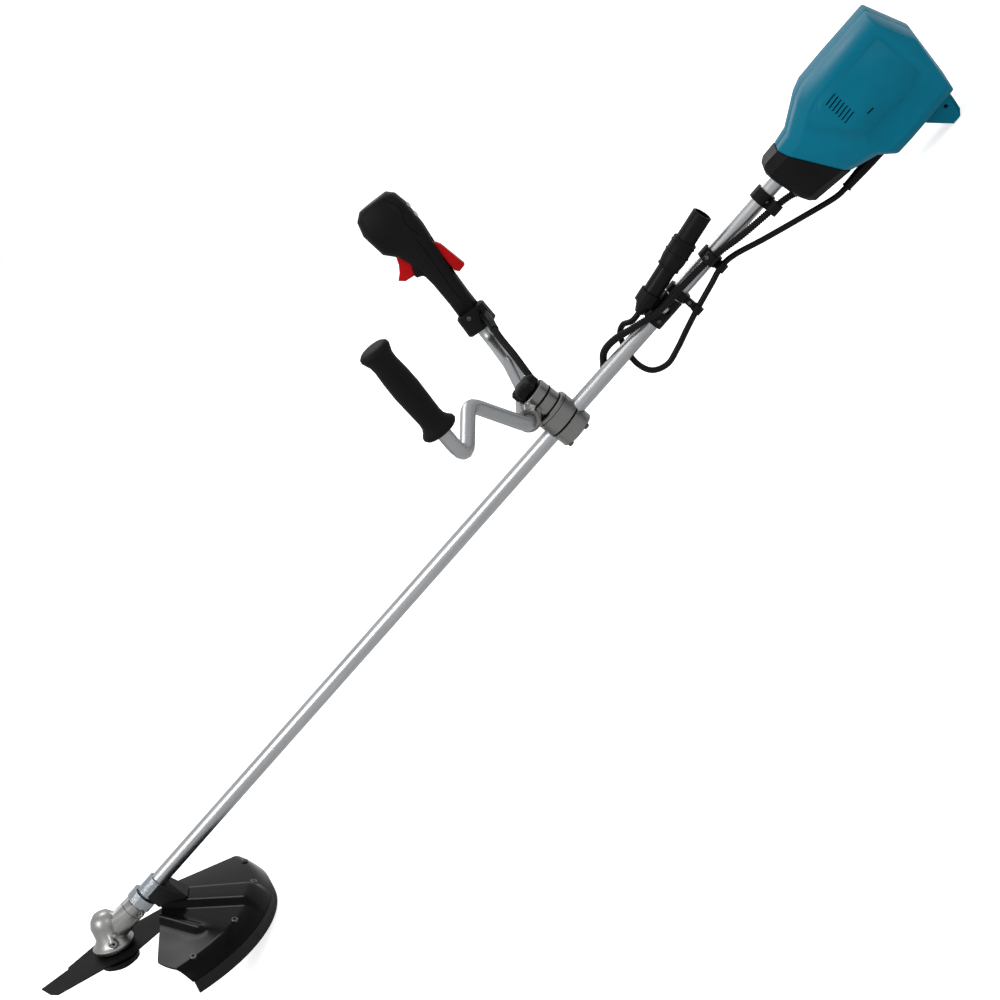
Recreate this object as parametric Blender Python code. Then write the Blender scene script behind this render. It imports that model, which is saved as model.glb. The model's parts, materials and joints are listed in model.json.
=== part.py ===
"""Brush cutter with a bike handle, driven by a motor at the rear of a straight pipe.

Lengths are millimetres and angles degrees; meshes are scaled to metres when they are made.
Machine frame: x runs along the pipe towards the motor, y to the operator's right, z up, with
the handle bracket at x = 0 and the pipe's axis at z = 0. The root empty lays it on the floor.
"""

import math

import bpy
import bmesh
from mathutils import Matrix, Vector

MM = 0.001
GAP = 0.3

# Pipe and drive shaft
PIPE_R = 12.0
PIPE_WALL = 1.6
PIPE_FRONT_X = -1040.0
PIPE_REAR_X = 508.0
SHAFT_R = 4.0
BUSH_LENGTH = 30.0
BUSH_XS = (-700.0, -250.0, 200.0)
RUN_GAP = 0.08

# Cutting head
SPINDLE_X = -1083.0
HEAD_TILT = 30.0
FLANGE_R = 34.0
FLANGE_DROP = 17.0
NECK_R = 18.5
DOME_R = 24.0
DOME_HEIGHT = 40.0
GEAR_ROOM_R = 18.8
NECK_END_X = -1012.0
COLLAR_END_X = -994.0
SPINDLE_R = 6.0
SPINDLE_TOP_R = 4.0
SPINDLE_TOP = 28.0
PINION_TEETH = 12
GEAR_TEETH = 24
CONE_LENGTH = 17.0
TOOTH_FACE = 6.0
TOOTH_HEIGHT = 1.3
TOOTH_SHARE = 0.36
BEARING_R = 11.0
TOP_BEARING_R = 9.0
TOP_BEARING_Z = 21.0
BEARING_WIDTH = 7.0
RECEIVER_R = 31.0
RECEIVER_THICK = 6.0
BLADE_R = 131.0
BLADE_THICK = 1.8
BLADE_HALF_WIDTH = 54.0
BLADE_TIP_HALF = 24.0
BLADE_STEP_AT = 74.0
BLADE_STEP = 6.0
BLADE_TURN = 37.0
BLADE_BORE_R = 12.7
CLAMP_WASHER_R = 24.0
CLAMP_WASHER_THICK = 4.0
CUP_R = 33.0
CUP_DEPTH = 20.0
CUP_WALL = 2.4
NUT_R = 9.0
NUT_HEIGHT = 9.0

# Guard
GUARD_R = 257.0
GUARD_INNER_R = 92.0
GUARD_RIGHT_DEG = -33.0
GUARD_LEFT_DEG = 55.0
GUARD_WALL = 3.0
GUARD_HUB_H = 47.0
GUARD_EDGE_H = 26.0
GUARD_RIM_H = 2.0
GUARD_RIDGE = 7.0
SKIRT_DEPTH = 20.0
SKIRT_WALL = 2.6
LUG_DEGS = (-26.0, -4.0, 23.0, 47.0)
BAND_X = -977.0
BAND_WIDTH = 30.0
BAND_WALL = 3.0

# Power head
NOSE_FRONT_X = 466.0
NOSE_SEAM_TOP_X = 502.0
NOSE_SEAM_BOTTOM_X = 549.0
HOUSING_REAR_X = 750.0
HOUSING_TOP_Z = 68.0
HOUSING_BOTTOM_Z = -94.0
HOUSING_HALF_WIDTH = 66.0
HOUSING_WALL = 3.0
FOOT_Z = -130.0
FOOT_HALF_WIDTH = 30.0
FOOT_FRONT_X = 668.0
FOOT_REAR_X = 714.0
FOOT_TREAD = 14.0
PAD_RAISE = 5.0
LOUVRE_COUNT = 7
MOTOR_X = 584.0
PLATE_X = 642.0
PLATE_THICK = 7.0
FAN_X = 653.0
FAN_WIDTH = 11.0
CONTROL_X = 672.0
CONTROL_LENGTH = 48.0
COUPLING_R = 9.0
COUPLING_LENGTH = 30.0
CASE_END = 560.0
MOTOR_R = 43.0
STATOR_R = 39.0
STATOR_BORE_R = 22.0
ROTOR_R = 21.0
FAN_R = 38.0

# Handle
BAR_R = 11.1
BAR_X = -24.0
BAR_Z = 50.0
BRACKET_R = 29.0
HOLDER_R = 25.0
HOLDER_HALF = 45.0
BASE_TOP_Z = 31.0
CAP_TOP_Z = 66.0
KNOB_R = 23.0
KNOB_HEIGHT = 20.0
BASE_BOTTOM_Z = -25.0
BOLT_R = 4.0
BOSS_R = 18.0
BEND_R = 30.0
LEFT_GRIP_LENGTH = 156.0
LEFT_GRIP_R = 17.0
COLLAR_LENGTH = 36.0
BUTTON_R = 5.0

# Cords
CORD_R = 4.0
SLEEVE_R = 5.6
SLEEVE_ROOT_R = 4.7
RIB_PITCH = 7.0
BOOT_R = 9.0
BOOT_Z = -83.0
BOOT_END_X = 522.0
PLUG_R = 16.0
PLUG_COLLAR_AT = 60.0
PLUG_MOUTH_AT = 110.0
PLUG_END = 155.0

COLOURS = {
    "teal": ((0.0, 0.235, 0.307), 0.42, 0.0),
    "black": ((0.018, 0.018, 0.019), 0.5, 0.0),
    "gloss": ((0.012, 0.012, 0.013), 0.16, 0.0),
    "silver": ((0.62, 0.63, 0.64), 0.32, 1.0),
    "cast": ((0.52, 0.51, 0.5), 0.48, 1.0),
    "zinc": ((0.66, 0.7, 0.74), 0.22, 1.0),
    "steel": ((0.4, 0.41, 0.43), 0.3, 1.0),
    "red": ((0.62, 0.012, 0.016), 0.35, 0.0),
    "copper": ((0.6, 0.28, 0.12), 0.35, 1.0),
    "pale": ((0.75, 0.77, 0.78), 0.4, 0.0),
}

for old in list(bpy.data.objects):
    bpy.data.objects.remove(old)


def material(name, kind):
    """A Principled material in one of the machine's finishes."""
    colour, rough, metal = COLOURS[kind]
    mat = bpy.data.materials.new(name)
    mat.use_nodes = True
    shader = mat.node_tree.nodes["Principled BSDF"]
    shader.inputs["Base Color"].default_value = (*colour, 1.0)
    shader.inputs["Roughness"].default_value = rough
    shader.inputs["Metallic"].default_value = metal
    return mat


def add(name, data, kind, parent, matrix=None):
    """Links one object, its mesh given in the machine frame, under its carrier."""
    obj = bpy.data.objects.new(name, data)
    bpy.context.collection.objects.link(obj)
    if kind:
        data.materials.append(material(name, kind))
    obj.parent = parent
    obj.location = -Vector(parent["place"]) * MM
    if matrix is not None:
        obj.data.transform(matrix)
    return obj


def empty(name, place, parent=None):
    """An empty on a joint's axis, which carries the pieces that move with it."""
    obj = bpy.data.objects.new(name, None)
    bpy.context.collection.objects.link(obj)
    obj["place"] = place
    if parent:
        obj.parent = parent
        obj.location = (Vector(place) - Vector(parent["place"])) * MM
    return obj


def mesh_of(bm, name):
    bmesh.ops.remove_doubles(bm, verts=bm.verts, dist=1e-4)
    bmesh.ops.recalc_face_normals(bm, faces=bm.faces)
    bmesh.ops.scale(bm, vec=(MM, MM, MM), verts=bm.verts)
    mesh = bpy.data.meshes.new(name)
    bm.to_mesh(mesh)
    bm.free()
    mesh.shade_smooth()
    mesh.set_sharp_from_angle(angle=math.radians(35))
    return mesh


def moved(matrix):
    """A machine-frame matrix in millimetres, made into metres."""
    out = matrix.copy()
    out.translation = matrix.translation * MM
    return out


def loft(name, rings, closed=False):
    """A closed solid through rings of the same number of points; closed joins last to first."""
    bm = bmesh.new()
    loops = [[bm.verts.new(p) for p in ring] for ring in rings]
    count = len(loops[0])
    pairs = list(zip(loops, loops[1:]))
    if closed:
        pairs.append((loops[-1], loops[0]))
    for a, b in pairs:
        for i in range(count):
            j = (i + 1) % count
            bm.faces.new((a[i], a[j], b[j], b[i]))
    if not closed:
        bm.faces.new(loops[0])
        bm.faces.new(loops[-1])
    return mesh_of(bm, name)


def lathe(name, profile, sides=32, bore=False):
    """A turned solid about local z from (radius, height) pairs; bore closes the profile."""
    rings = []
    for radius, height in profile:
        turns = [2 * math.pi * i / sides for i in range(sides)]
        rings.append([(radius * math.cos(t), radius * math.sin(t), height) for t in turns])
    return loft(name, rings, closed=bore)


def prism(name, outline, low, high):
    """An outline in local x and y, extruded along local z."""
    return loft(name, [[(x, y, z) for x, y in outline] for z in (low, high)])


def along(origin, direction, up=(0, 0, 1)):
    """A matrix whose local z runs along a direction, with local x nearest to up."""
    z = Vector(direction).normalized()
    x = Vector(up) - Vector(up).project(z)
    if x.length < 1e-6:
        x = z.orthogonal()
    x.normalize()
    m = Matrix((x, z.cross(x), z)).transposed().to_4x4()
    m.translation = Vector(origin)
    return m


def circle(radius, sides):
    turn = 2 * math.pi / sides
    return [(radius * math.cos(turn * i), radius * math.sin(turn * i)) for i in range(sides)]


def boolean(obj, other, operation="DIFFERENCE"):
    """Cuts or joins with a helper solid, which stays as a hidden guide."""
    mod = obj.modifiers.new(other.name, "BOOLEAN")
    mod.object = other
    mod.operation = operation
    mod.solver = "EXACT"
    other.hide_render = True
    other.display_type = "WIRE"
    return obj


def guide(obj, mesh, parent, matrix=None, operation="DIFFERENCE"):
    """One Boolean step on an object from a helper mesh in the machine frame."""
    helper = add(obj.name + ".guide", mesh, None, parent, matrix)
    return boolean(obj, helper, operation)


def smooth_route(points, step):
    """Points every step along a Catmull-Rom curve through the given points."""
    pts = [Vector(p) for p in points]
    pts = [pts[0] * 2 - pts[1]] + pts + [pts[-1] * 2 - pts[-2]]
    fine = []
    for a, b, c, d in zip(pts, pts[1:], pts[2:], pts[3:]):
        for i in range(24):
            t = i / 24
            fine.append(0.5 * ((2 * b) + (c - a) * t + (2 * a - 5 * b + 4 * c - d) * t * t
                               + (3 * b - a - 3 * c + d) * t ** 3))
    fine.append(pts[-2])
    total = sum((q - p).length for p, q in zip(fine, fine[1:]))
    count = max(2, round(total / step))
    out = [fine[0]]
    run = 0.0
    for p, q in zip(fine, fine[1:]):
        length = (q - p).length
        while len(out) < count and run + length >= total * len(out) / count:
            share = (total * len(out) / count - run) / length
            out.append(p.lerp(q, share))
        run += length
    out.append(fine[-1])
    return out


def tube_curve(name, points, radius, resolution=3, radii=None):
    """A round tube along points, with filled caps, as a curve."""
    curve = bpy.data.curves.new(name, "CURVE")
    curve.dimensions = "3D"
    curve.bevel_depth = radius * MM
    curve.bevel_resolution = resolution
    curve.use_fill_caps = True
    spline = curve.splines.new("POLY")
    spline.points.add(len(points) - 1)
    for i, (dot, p) in enumerate(zip(spline.points, points)):
        dot.co = (*(Vector(p) * MM), 1.0)
        dot.radius = radii[i] if radii else 1.0
    return curve


def bearing(name, kind_parent, axis_matrix, bore, outer, width):
    profile = [(bore, width / 2), (bore, -width / 2), (outer, -width / 2), (outer, width / 2)]
    return add(name, lathe(name, profile, 24, bore=True), "steel", kind_parent, moved(axis_matrix))


# Floor line: the guard's rim and the housing's foot rest on one plane.
tilt = math.radians(HEAD_TILT)
UP_N = Vector((math.sin(tilt), 0, math.cos(tilt)))
FORE = Vector((-math.cos(tilt), 0, math.sin(tilt)))
SPINDLE_C = Vector((SPINDLE_X, 0, 0))
BLADE_TOP = FLANGE_DROP + RECEIVER_THICK + 2 * GAP
BLADE_C = SPINDLE_C - UP_N * (BLADE_TOP + BLADE_THICK / 2)
HEAD = Matrix((FORE, UP_N.cross(FORE), UP_N)).transposed().to_4x4()
HEAD.translation = BLADE_C
RIM_LOW = BLADE_C - FORE * (GUARD_R + SKIRT_WALL) + UP_N * (GUARD_RIM_H - SKIRT_DEPTH - GAP)
FOOT_LOW = Vector((FOOT_REAR_X - 8, 0, FOOT_Z))
PITCH = math.atan2(FOOT_LOW.z - RIM_LOW.z, FOOT_LOW.x - RIM_LOW.x)
LEVEL = Matrix.Rotation(PITCH, 4, "Y")
FLOOR_DROP = (LEVEL @ FOOT_LOW).z
FLOOR_SLOPE = math.tan(PITCH)

root = empty("machine", (0, 0, 0))
root.rotation_euler = (0, PITCH, 0)
CENTRE_X = -223.1
CENTRE_Y = 5.1
root.location = Vector((-CENTRE_X, -CENTRE_Y, -FLOOR_DROP)) * MM
cutter = empty("cutter_axis", BLADE_C, root)
drive = empty("drive_axis", SPINDLE_C, root)
swivel = empty("handle_swivel_axis", (0, 0, BAR_Z), root)
XAXIS = along((0, 0, 0), (1, 0, 0))
UPRIGHT = Matrix.Rotation(math.radians(90), 4, "X")


def ring_x(name, kind, parent, x0, x1, outer, inner, sides=32):
    """A plain ring about the pipe's axis."""
    profile = [(inner, x1), (inner, x0), (outer, x0), (outer, x1)]
    return add(name, lathe(name, profile, sides, bore=True), kind, parent, moved(XAXIS))


# Main pipe and what runs in it
def pipe_and_shaft():
    bore = PIPE_R - PIPE_WALL
    ring_x("main_pipe", "silver", root, PIPE_FRONT_X, PIPE_REAR_X, PIPE_R, bore, 32)
    for i, x in enumerate(BUSH_XS):
        ring_x(f"shaft_bush_{i + 1}", "black", root, x, x + BUSH_LENGTH, bore - GAP,
               SHAFT_R + RUN_GAP, 18)
    front = SPINDLE_X + PINION_BACK + GAP
    rear = CASE_END - GAP
    shaft = lathe("drive_shaft", [(SHAFT_R, rear), (SHAFT_R, front)], 18)
    add("drive_shaft", shaft, "steel", drive, moved(XAXIS))


def bevel_wheel(name, teeth, cone, bore, back, turn, kind, parent, matrix):
    """A straight bevel gear with its apex at local zero and its back towards local +z."""
    def ring(length, heights):
        out = []
        pitch = 2 * math.pi / teeth
        half = pitch * TOOTH_SHARE / 2
        for i in range(teeth):
            mid = turn + i * pitch
            for angle, height in ((mid - half * 1.5, heights[0]), (mid - half * 0.8, heights[1]),
                                  (mid + half * 0.8, heights[1]), (mid + half * 1.5, heights[0])):
                r = length * math.sin(cone) + height * math.cos(cone)
                a = length * math.cos(cone) - height * math.sin(cone)
                out.append((r * math.cos(angle), r * math.sin(angle), a))
        return out

    def plain(radius, height):
        flat = ring(1.0, (0.0, 0.0))
        return [(radius * x / math.hypot(x, y), radius * y / math.hypot(x, y), height) for x, y, _ in flat]

    inner = CONE_LENGTH - TOOTH_FACE
    small = TOOTH_HEIGHT * inner / CONE_LENGTH
    root_r = inner * math.sin(cone) - small * math.cos(cone)
    root_a = inner * math.cos(cone) + small * math.sin(cone)
    outer_r = CONE_LENGTH * math.sin(cone) - TOOTH_HEIGHT * math.cos(cone)
    rings = [plain(bore, root_a + 0.4), plain(root_r - 0.3, root_a + 0.4), ring(inner, (-small, small)),
             ring(CONE_LENGTH, (-TOOTH_HEIGHT, TOOTH_HEIGHT)), plain(outer_r, back), plain(bore, back)]
    add(name, loft(name, rings, closed=True), kind, parent, moved(matrix))


# Pitch cones of the pair, for the angle between the pipe and the spindle's lower end
SHAFT_ANGLE = math.radians(90 + HEAD_TILT)
RATIO = GEAR_TEETH / PINION_TEETH
PINION_CONE = math.atan2(math.sin(SHAFT_ANGLE), RATIO + math.cos(SHAFT_ANGLE))
GEAR_CONE = SHAFT_ANGLE - PINION_CONE
PINION_BACK = CONE_LENGTH * math.cos(PINION_CONE) + 5.0
GEAR_BACK = CONE_LENGTH * math.cos(GEAR_CONE) + TOOTH_HEIGHT + 4.5


# Cutting head: case, bevel pair, spindle, washers and blade
def gear_case():
    spin = along(SPINDLE_C, UP_N, (1, 0, 0))
    bottom = -FLANGE_DROP
    profile = [(0.0, DOME_HEIGHT), (DOME_R * 0.55, DOME_HEIGHT - 1.5), (DOME_R * 0.84, DOME_HEIGHT - 9),
               (DOME_R, DOME_HEIGHT - 19), (DOME_R - 1.0, -2.0), (DOME_R + 2.5, -5.0),
               (DOME_R + 3.0, -8.5), (FLANGE_R - 2.0, -11.5), (FLANGE_R, -13.5), (FLANGE_R, bottom),
               (0.0, bottom)]
    case = add("gear_case", lathe("gear_case", profile, 26), "cast", root, moved(spin))
    neck = lathe("neck", [(NECK_R, NECK_END_X), (NECK_R + 1.5, SPINDLE_X + 22), (NECK_R, SPINDLE_X)], 24)
    guide(case, neck, root, moved(XAXIS), "UNION")
    lug = lathe("lug", [(6.0, DOME_R + 8.0), (6.0, 0.0)], 20)
    lug_at = SPINDLE_C - UP_N * 4.0
    side = (Vector((0, -1, 0)) - FORE * 0.25).normalized()
    guide(case, lug, root, moved(along(lug_at, side)), "UNION")
    room = lathe("room", [(GEAR_ROOM_R, 8.0), (GEAR_ROOM_R, bottom - 5.0)], 24)
    guide(case, room, root, moved(spin))
    top = TOP_BEARING_Z + BEARING_WIDTH / 2 + GAP
    seat = lathe("seat", [(TOP_BEARING_R + GAP, top), (TOP_BEARING_R + GAP, 5.0)], 20)
    guide(case, seat, root, moved(spin))
    tip = lathe("tip", [(SPINDLE_TOP_R + 1.5, SPINDLE_TOP + 2.0), (SPINDLE_TOP_R + 1.5, top - 4.0)], 20)
    guide(case, tip, root, moved(spin))
    bore = lathe("bore", [(BEARING_R + GAP, PIPE_FRONT_X), (BEARING_R + GAP, SPINDLE_X + 4.0)], 24)
    guide(case, bore, root, moved(XAXIS))
    socket = lathe("socket", [(PIPE_R + GAP, NECK_END_X + 5.0), (PIPE_R + GAP, PIPE_FRONT_X - GAP)], 26)
    guide(case, socket, root, moved(XAXIS))
    hole = lathe("hole", [(2.4, DOME_R + 20.0), (2.4, DOME_R - 1.0)], 14)
    guide(case, hole, root, moved(along(lug_at, side)))
    ring_x("clamp_collar", "zinc", root, NECK_END_X + GAP, COLLAR_END_X, NECK_R + 2.0, PIPE_R + GAP, 26)


def bevel_pair():
    pinion = along(SPINDLE_C, (1, 0, 0))
    wheel = along(SPINDLE_C, -UP_N, (1, 0, 0))
    bevel_wheel("pinion", PINION_TEETH, PINION_CONE, 1.5, PINION_BACK, math.pi / PINION_TEETH, "steel",
                drive, pinion)
    bevel_wheel("bevel_gear", GEAR_TEETH, GEAR_CONE, SPINDLE_R + GAP, GEAR_BACK, 0.0, "steel",
                cutter, wheel)
    at = SPINDLE_X + PINION_BACK + GAP + BEARING_WIDTH / 2 + 0.4
    bearing("pinion_bearing", root, along((at, 0, 0), (1, 0, 0)), SHAFT_R + RUN_GAP, BEARING_R,
            BEARING_WIDTH)
    top = SPINDLE_C + UP_N * TOP_BEARING_Z
    bearing("upper_bearing", root, along(top, UP_N), SPINDLE_TOP_R + RUN_GAP, TOP_BEARING_R, BEARING_WIDTH)
    low = SPINDLE_C - UP_N * (GEAR_BACK + GAP + 0.4 + BEARING_WIDTH / 2)
    bearing("lower_bearing", root, along(low, UP_N), SPINDLE_R + RUN_GAP, GEAR_ROOM_R - GAP, BEARING_WIDTH)


def cutter_stack():
    spin = along(SPINDLE_C, UP_N, (1, 0, 0))
    washer_top = -FLANGE_DROP - GAP
    washer_low = washer_top - RECEIVER_THICK
    blade_low = washer_low - GAP - BLADE_THICK
    clamp_low = blade_low - GAP - CLAMP_WASHER_THICK
    cup_top = clamp_low - GAP
    nut_top = cup_top - CUP_WALL - GAP
    end = nut_top - NUT_HEIGHT - 2.0
    axle = [(SPINDLE_TOP_R, SPINDLE_TOP), (SPINDLE_TOP_R, -2.0), (SPINDLE_R, -3.0), (SPINDLE_R, end)]
    add("spindle", lathe("spindle", axle, 18), "steel", cutter, moved(spin))
    bore = SPINDLE_R + GAP
    pilot = BLADE_BORE_R - GAP
    receiver = [(bore, washer_top), (bore, washer_low - BLADE_THICK), (pilot, washer_low - BLADE_THICK),
                (pilot, washer_low), (RECEIVER_R - 3, washer_low), (RECEIVER_R, washer_low + 3),
                (RECEIVER_R, washer_top)]
    add("receiver_washer", lathe("receiver_washer", receiver, 26, bore=True), "zinc", cutter, moved(spin))
    clamp = [(bore, blade_low - GAP), (bore, clamp_low), (CLAMP_WASHER_R - 2, clamp_low),
             (CLAMP_WASHER_R, blade_low - GAP)]
    add("clamp_washer", lathe("clamp_washer", clamp, 24, bore=True), "zinc", cutter, moved(spin))
    inner = CUP_R - CUP_WALL
    cup = [(bore, cup_top), (bore, cup_top - CUP_WALL), (inner * 0.62, cup_top - CUP_WALL),
           (inner * 0.9, cup_top - CUP_DEPTH * 0.45), (inner * 0.86, cup_top - CUP_DEPTH * 0.82),
           (inner * 0.6, cup_top - CUP_DEPTH), (inner * 0.68, cup_top - CUP_DEPTH - CUP_WALL),
           (CUP_R * 0.93, cup_top - CUP_DEPTH * 0.86), (CUP_R, cup_top - CUP_DEPTH * 0.42),
           (CUP_R * 0.72, cup_top)]
    add("glide_cup", lathe("glide_cup", cup, 26, bore=True), "black", cutter, moved(spin))
    nut_mesh = loft("spindle_nut", [[(x, y, z) for x, y in circle(r, 24)] for r, z in
                                    ((bore, nut_top), (bore, nut_top - NUT_HEIGHT),
                                     (NUT_R, nut_top - NUT_HEIGHT), (NUT_R, nut_top))], closed=True)
    add("spindle_nut", nut_mesh, "zinc", cutter, moved(spin))
    half = [(0.0, -BLADE_HALF_WIDTH), (BLADE_STEP_AT - 4, -BLADE_TIP_HALF - BLADE_STEP * 2),
            (BLADE_STEP_AT, -BLADE_TIP_HALF - BLADE_STEP), (BLADE_R - 3, -BLADE_TIP_HALF),
            (BLADE_R, BLADE_TIP_HALF * 0.4), (BLADE_R - 5, BLADE_TIP_HALF + 2),
            (BLADE_R * 0.36, BLADE_TIP_HALF + 16)]
    outline = half + [(-x, -y) for x, y in half]
    turn = Matrix.Rotation(math.radians(BLADE_TURN), 4, "Z")
    blade = prism("blade", outline, -BLADE_THICK / 2, BLADE_THICK / 2)
    plate = add("blade", blade, "black", cutter, moved(HEAD @ turn))
    eye = lathe("eye", [(BLADE_BORE_R, 5.0), (BLADE_BORE_R, -5.0)], 24)
    guide(plate, eye, cutter, moved(HEAD))


# Guard: a sector shell behind the spindle, its lower skirt and the band that hangs it
def guard_height(radius, angle):
    """Height of the guard's top over the blade, with a raised middle panel."""
    run = (radius - GUARD_INNER_R) / (GUARD_R - GUARD_INNER_R)
    slope = GUARD_HUB_H + (GUARD_EDGE_H - GUARD_HUB_H) * min(run / 0.86, 1.0)
    edge = max(0.0, (run - 0.86) / 0.14)
    fall = (GUARD_EDGE_H - GUARD_RIM_H) * (1 - math.cos(edge * math.pi / 2))
    across = radius * math.sin(math.radians(angle))
    ridge_a = -44 + 26 * run
    ridge_b = 4 + 70 * run
    step = 1 / (1 + math.exp(-(across - ridge_a) / 4)) - 1 / (1 + math.exp(-(across - ridge_b) / 4))
    return slope - fall + GUARD_RIDGE * step * (1 - edge)


def guard_point(radius, degrees, height):
    a = math.radians(degrees)
    return (-radius * math.cos(a), radius * math.sin(a), height)


def guard_shell():
    bm = bmesh.new()
    reach = GUARD_R - GUARD_INNER_R
    radii = [GUARD_INNER_R + reach * s for s in (0, 0.16, 0.34, 0.52, 0.7, 0.86, 0.91, 0.955, 0.985, 1.0)]
    count = 24
    grid = []
    for r in radii:
        row = []
        for i in range(count + 1):
            d = GUARD_RIGHT_DEG + (GUARD_LEFT_DEG - GUARD_RIGHT_DEG) * i / count
            row.append(bm.verts.new(guard_point(r, d, guard_height(r, d))))
        grid.append(row)
    for low, high in zip(grid, grid[1:]):
        for i in range(count):
            bm.faces.new((low[i], high[i], high[i + 1], low[i + 1]))
    mesh = mesh_of(bm, "guard")
    shell = add("guard", mesh, "gloss", root, moved(HEAD))
    solid = shell.modifiers.new("wall", "SOLIDIFY")
    solid.thickness = GUARD_WALL * MM
    solid.offset = 0.0


def guard_skirt():
    """The lower wall that screws along the guard's rim, with its lugs."""
    top = GUARD_RIM_H - GUARD_WALL * 0.27 - GAP
    low = GUARD_RIM_H - SKIRT_DEPTH
    count = 24
    rings = []
    for i in range(count + 1):
        d = GUARD_RIGHT_DEG + (GUARD_LEFT_DEG - GUARD_RIGHT_DEG) * i / count
        rings.append([guard_point(GUARD_R - SKIRT_WALL, d, top),
                      guard_point(GUARD_R + SKIRT_WALL / 2, d, top),
                      guard_point(GUARD_R + SKIRT_WALL, d, low), guard_point(GUARD_R, d, low)])
    skirt = add("guard_skirt", loft("guard_skirt", rings), "black", root, moved(HEAD))
    for d in LUG_DEGS:
        lug = lathe("lug", [(7.0, low + 12.0), (7.0, low + 4.0)], 16)
        centre = HEAD @ Vector(guard_point(GUARD_R - 4.0, d, 0.0))
        guide(skirt, lug, root, moved(along(centre, UP_N)), "UNION")


def guard_mount():
    """The plated band on the pipe and the bracket from it down to the guard."""
    x0 = BAND_X - BAND_WIDTH / 2
    x1 = BAND_X + BAND_WIDTH / 2
    ring_x("guard_band", "zinc", root, x0, x1, PIPE_R + GAP + BAND_WALL, PIPE_R + GAP, 26)
    drop = PIPE_R + BAND_WALL + 2 * GAP
    deep = 3.0 * drop
    outline = [(x0 + 2, -4), (x1 - 2, -4), (x1 + 8, -drop), (x1 + 14, -deep), (x0 + 2, -deep)]
    block = prism("guard_bracket", outline, -18.0, 18.0)
    bracket = add("guard_bracket", block, "black", root, moved(UPRIGHT))
    lift = GUARD_WALL / 2 + GAP + 0.5
    fan_out = (-20, -14, -8, -3, 2, 8, 14, 20)
    rings = []
    for r in (GUARD_INNER_R - 8, GUARD_INNER_R, GUARD_INNER_R + 26, GUARD_INNER_R + 56, GUARD_INNER_R + 86):
        top = [guard_point(r, d, guard_height(max(r, GUARD_INNER_R), d) + lift) for d in fan_out]
        rings.append(top + [guard_point(r, d, -60.0) for d in fan_out[::-1]])
    guide(bracket, loft("cover", rings), root, moved(HEAD))
    reach = PIPE_R + BAND_WALL + 2 * GAP
    hug = lathe("hug", [(reach, x1 + 40), (reach, x0 - 40)], 26)
    guide(bracket, hug, root, moved(XAXIS))


# Power head: two housing halves, the nose, and the motor, fan and controller inside
SEAM_TOP_Z = 34.0
SEAM_BOTTOM_Z = -64.0
SEAM_HALF = 44.0
# Stations of the housing: x at the top, x at the bottom, top z, bottom z, half width
HOUSING_STATIONS = (
    (NOSE_SEAM_TOP_X, NOSE_SEAM_BOTTOM_X, SEAM_TOP_Z, SEAM_BOTTOM_Z, SEAM_HALF),
    (528.0, 566.0, SEAM_TOP_Z + 3, SEAM_BOTTOM_Z - 4, HOUSING_HALF_WIDTH - 15),
    (574.0, 592.0, HOUSING_TOP_Z - 7, HOUSING_BOTTOM_Z + 20, HOUSING_HALF_WIDTH - 5),
    (594.0, 612.0, HOUSING_TOP_Z - 1, HOUSING_BOTTOM_Z, HOUSING_HALF_WIDTH - 2),
    (PLATE_X - 2, PLATE_X - 2, HOUSING_TOP_Z, HOUSING_BOTTOM_Z, HOUSING_HALF_WIDTH),
    (HOUSING_REAR_X - 20, HOUSING_REAR_X - 20, HOUSING_TOP_Z, HOUSING_BOTTOM_Z + 2, HOUSING_HALF_WIDTH),
    (HOUSING_REAR_X, HOUSING_REAR_X - 5, 0.0, -22.0, HOUSING_HALF_WIDTH - 10),
)


def housing_ring(station, side, inset, middle):
    """Half a section of the housing: top, wide chamfer, side, lower chamfer, bottom."""
    x_top, x_bottom, top, bottom, half = station
    top, bottom, half = top - inset, bottom + inset, half - inset
    tall = top - bottom
    chamfer = min(13.0, tall * 0.2)
    shoulder = half * 0.4
    points = ((middle, top), (half - shoulder, top), (half, top - chamfer), (half, bottom + chamfer),
              (half - chamfer, bottom), (middle, bottom))
    span = station[2] - station[3]
    ring = []
    for y, z in points:
        share = (station[2] - z) / span
        ring.append((x_top + (x_bottom - x_top) * share, side * y, z))
    return ring


def housing_half(name, side):
    rings = [housing_ring(s, side, 0.0, GAP / 2) for s in HOUSING_STATIONS]
    half = add(name, loft(name, rings), "teal", root)
    bevel = half.modifiers.new("edges", "BEVEL")
    bevel.width = 3.0 * MM
    bevel.segments = 2
    bevel.limit_method = "ANGLE"
    bevel.angle_limit = math.radians(28)
    raise_pad(half, side)
    raise_foot(half, side)
    first = (NOSE_SEAM_TOP_X + 5, NOSE_SEAM_BOTTOM_X + 5, *HOUSING_STATIONS[0][2:])
    last = (HOUSING_REAR_X - 24, HOUSING_REAR_X - 24, *HOUSING_STATIONS[5][2:])
    inside = [first, *HOUSING_STATIONS[1:5], last]
    cavity = loft("cavity", [housing_ring(s, side, HOUSING_WALL, -2.0) for s in inside])
    guide(half, cavity, root)
    clear = COUPLING_R + 1.5
    wall = lathe("wall", [(clear, NOSE_SEAM_BOTTOM_X), (clear, NOSE_SEAM_TOP_X - 20)], 18)
    guide(half, wall, root, moved(XAXIS))
    gland = lathe("gland", [(BOOT_R + GAP, HOUSING_STATIONS[3][1] + 14), (BOOT_R + GAP, BOOT_END_X)], 18)
    guide(half, gland, root, moved(along((0, 0, BOOT_Z), (1, 0, 0))))
    for i in range(LOUVRE_COUNT):
        slit(half, side, i)


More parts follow.
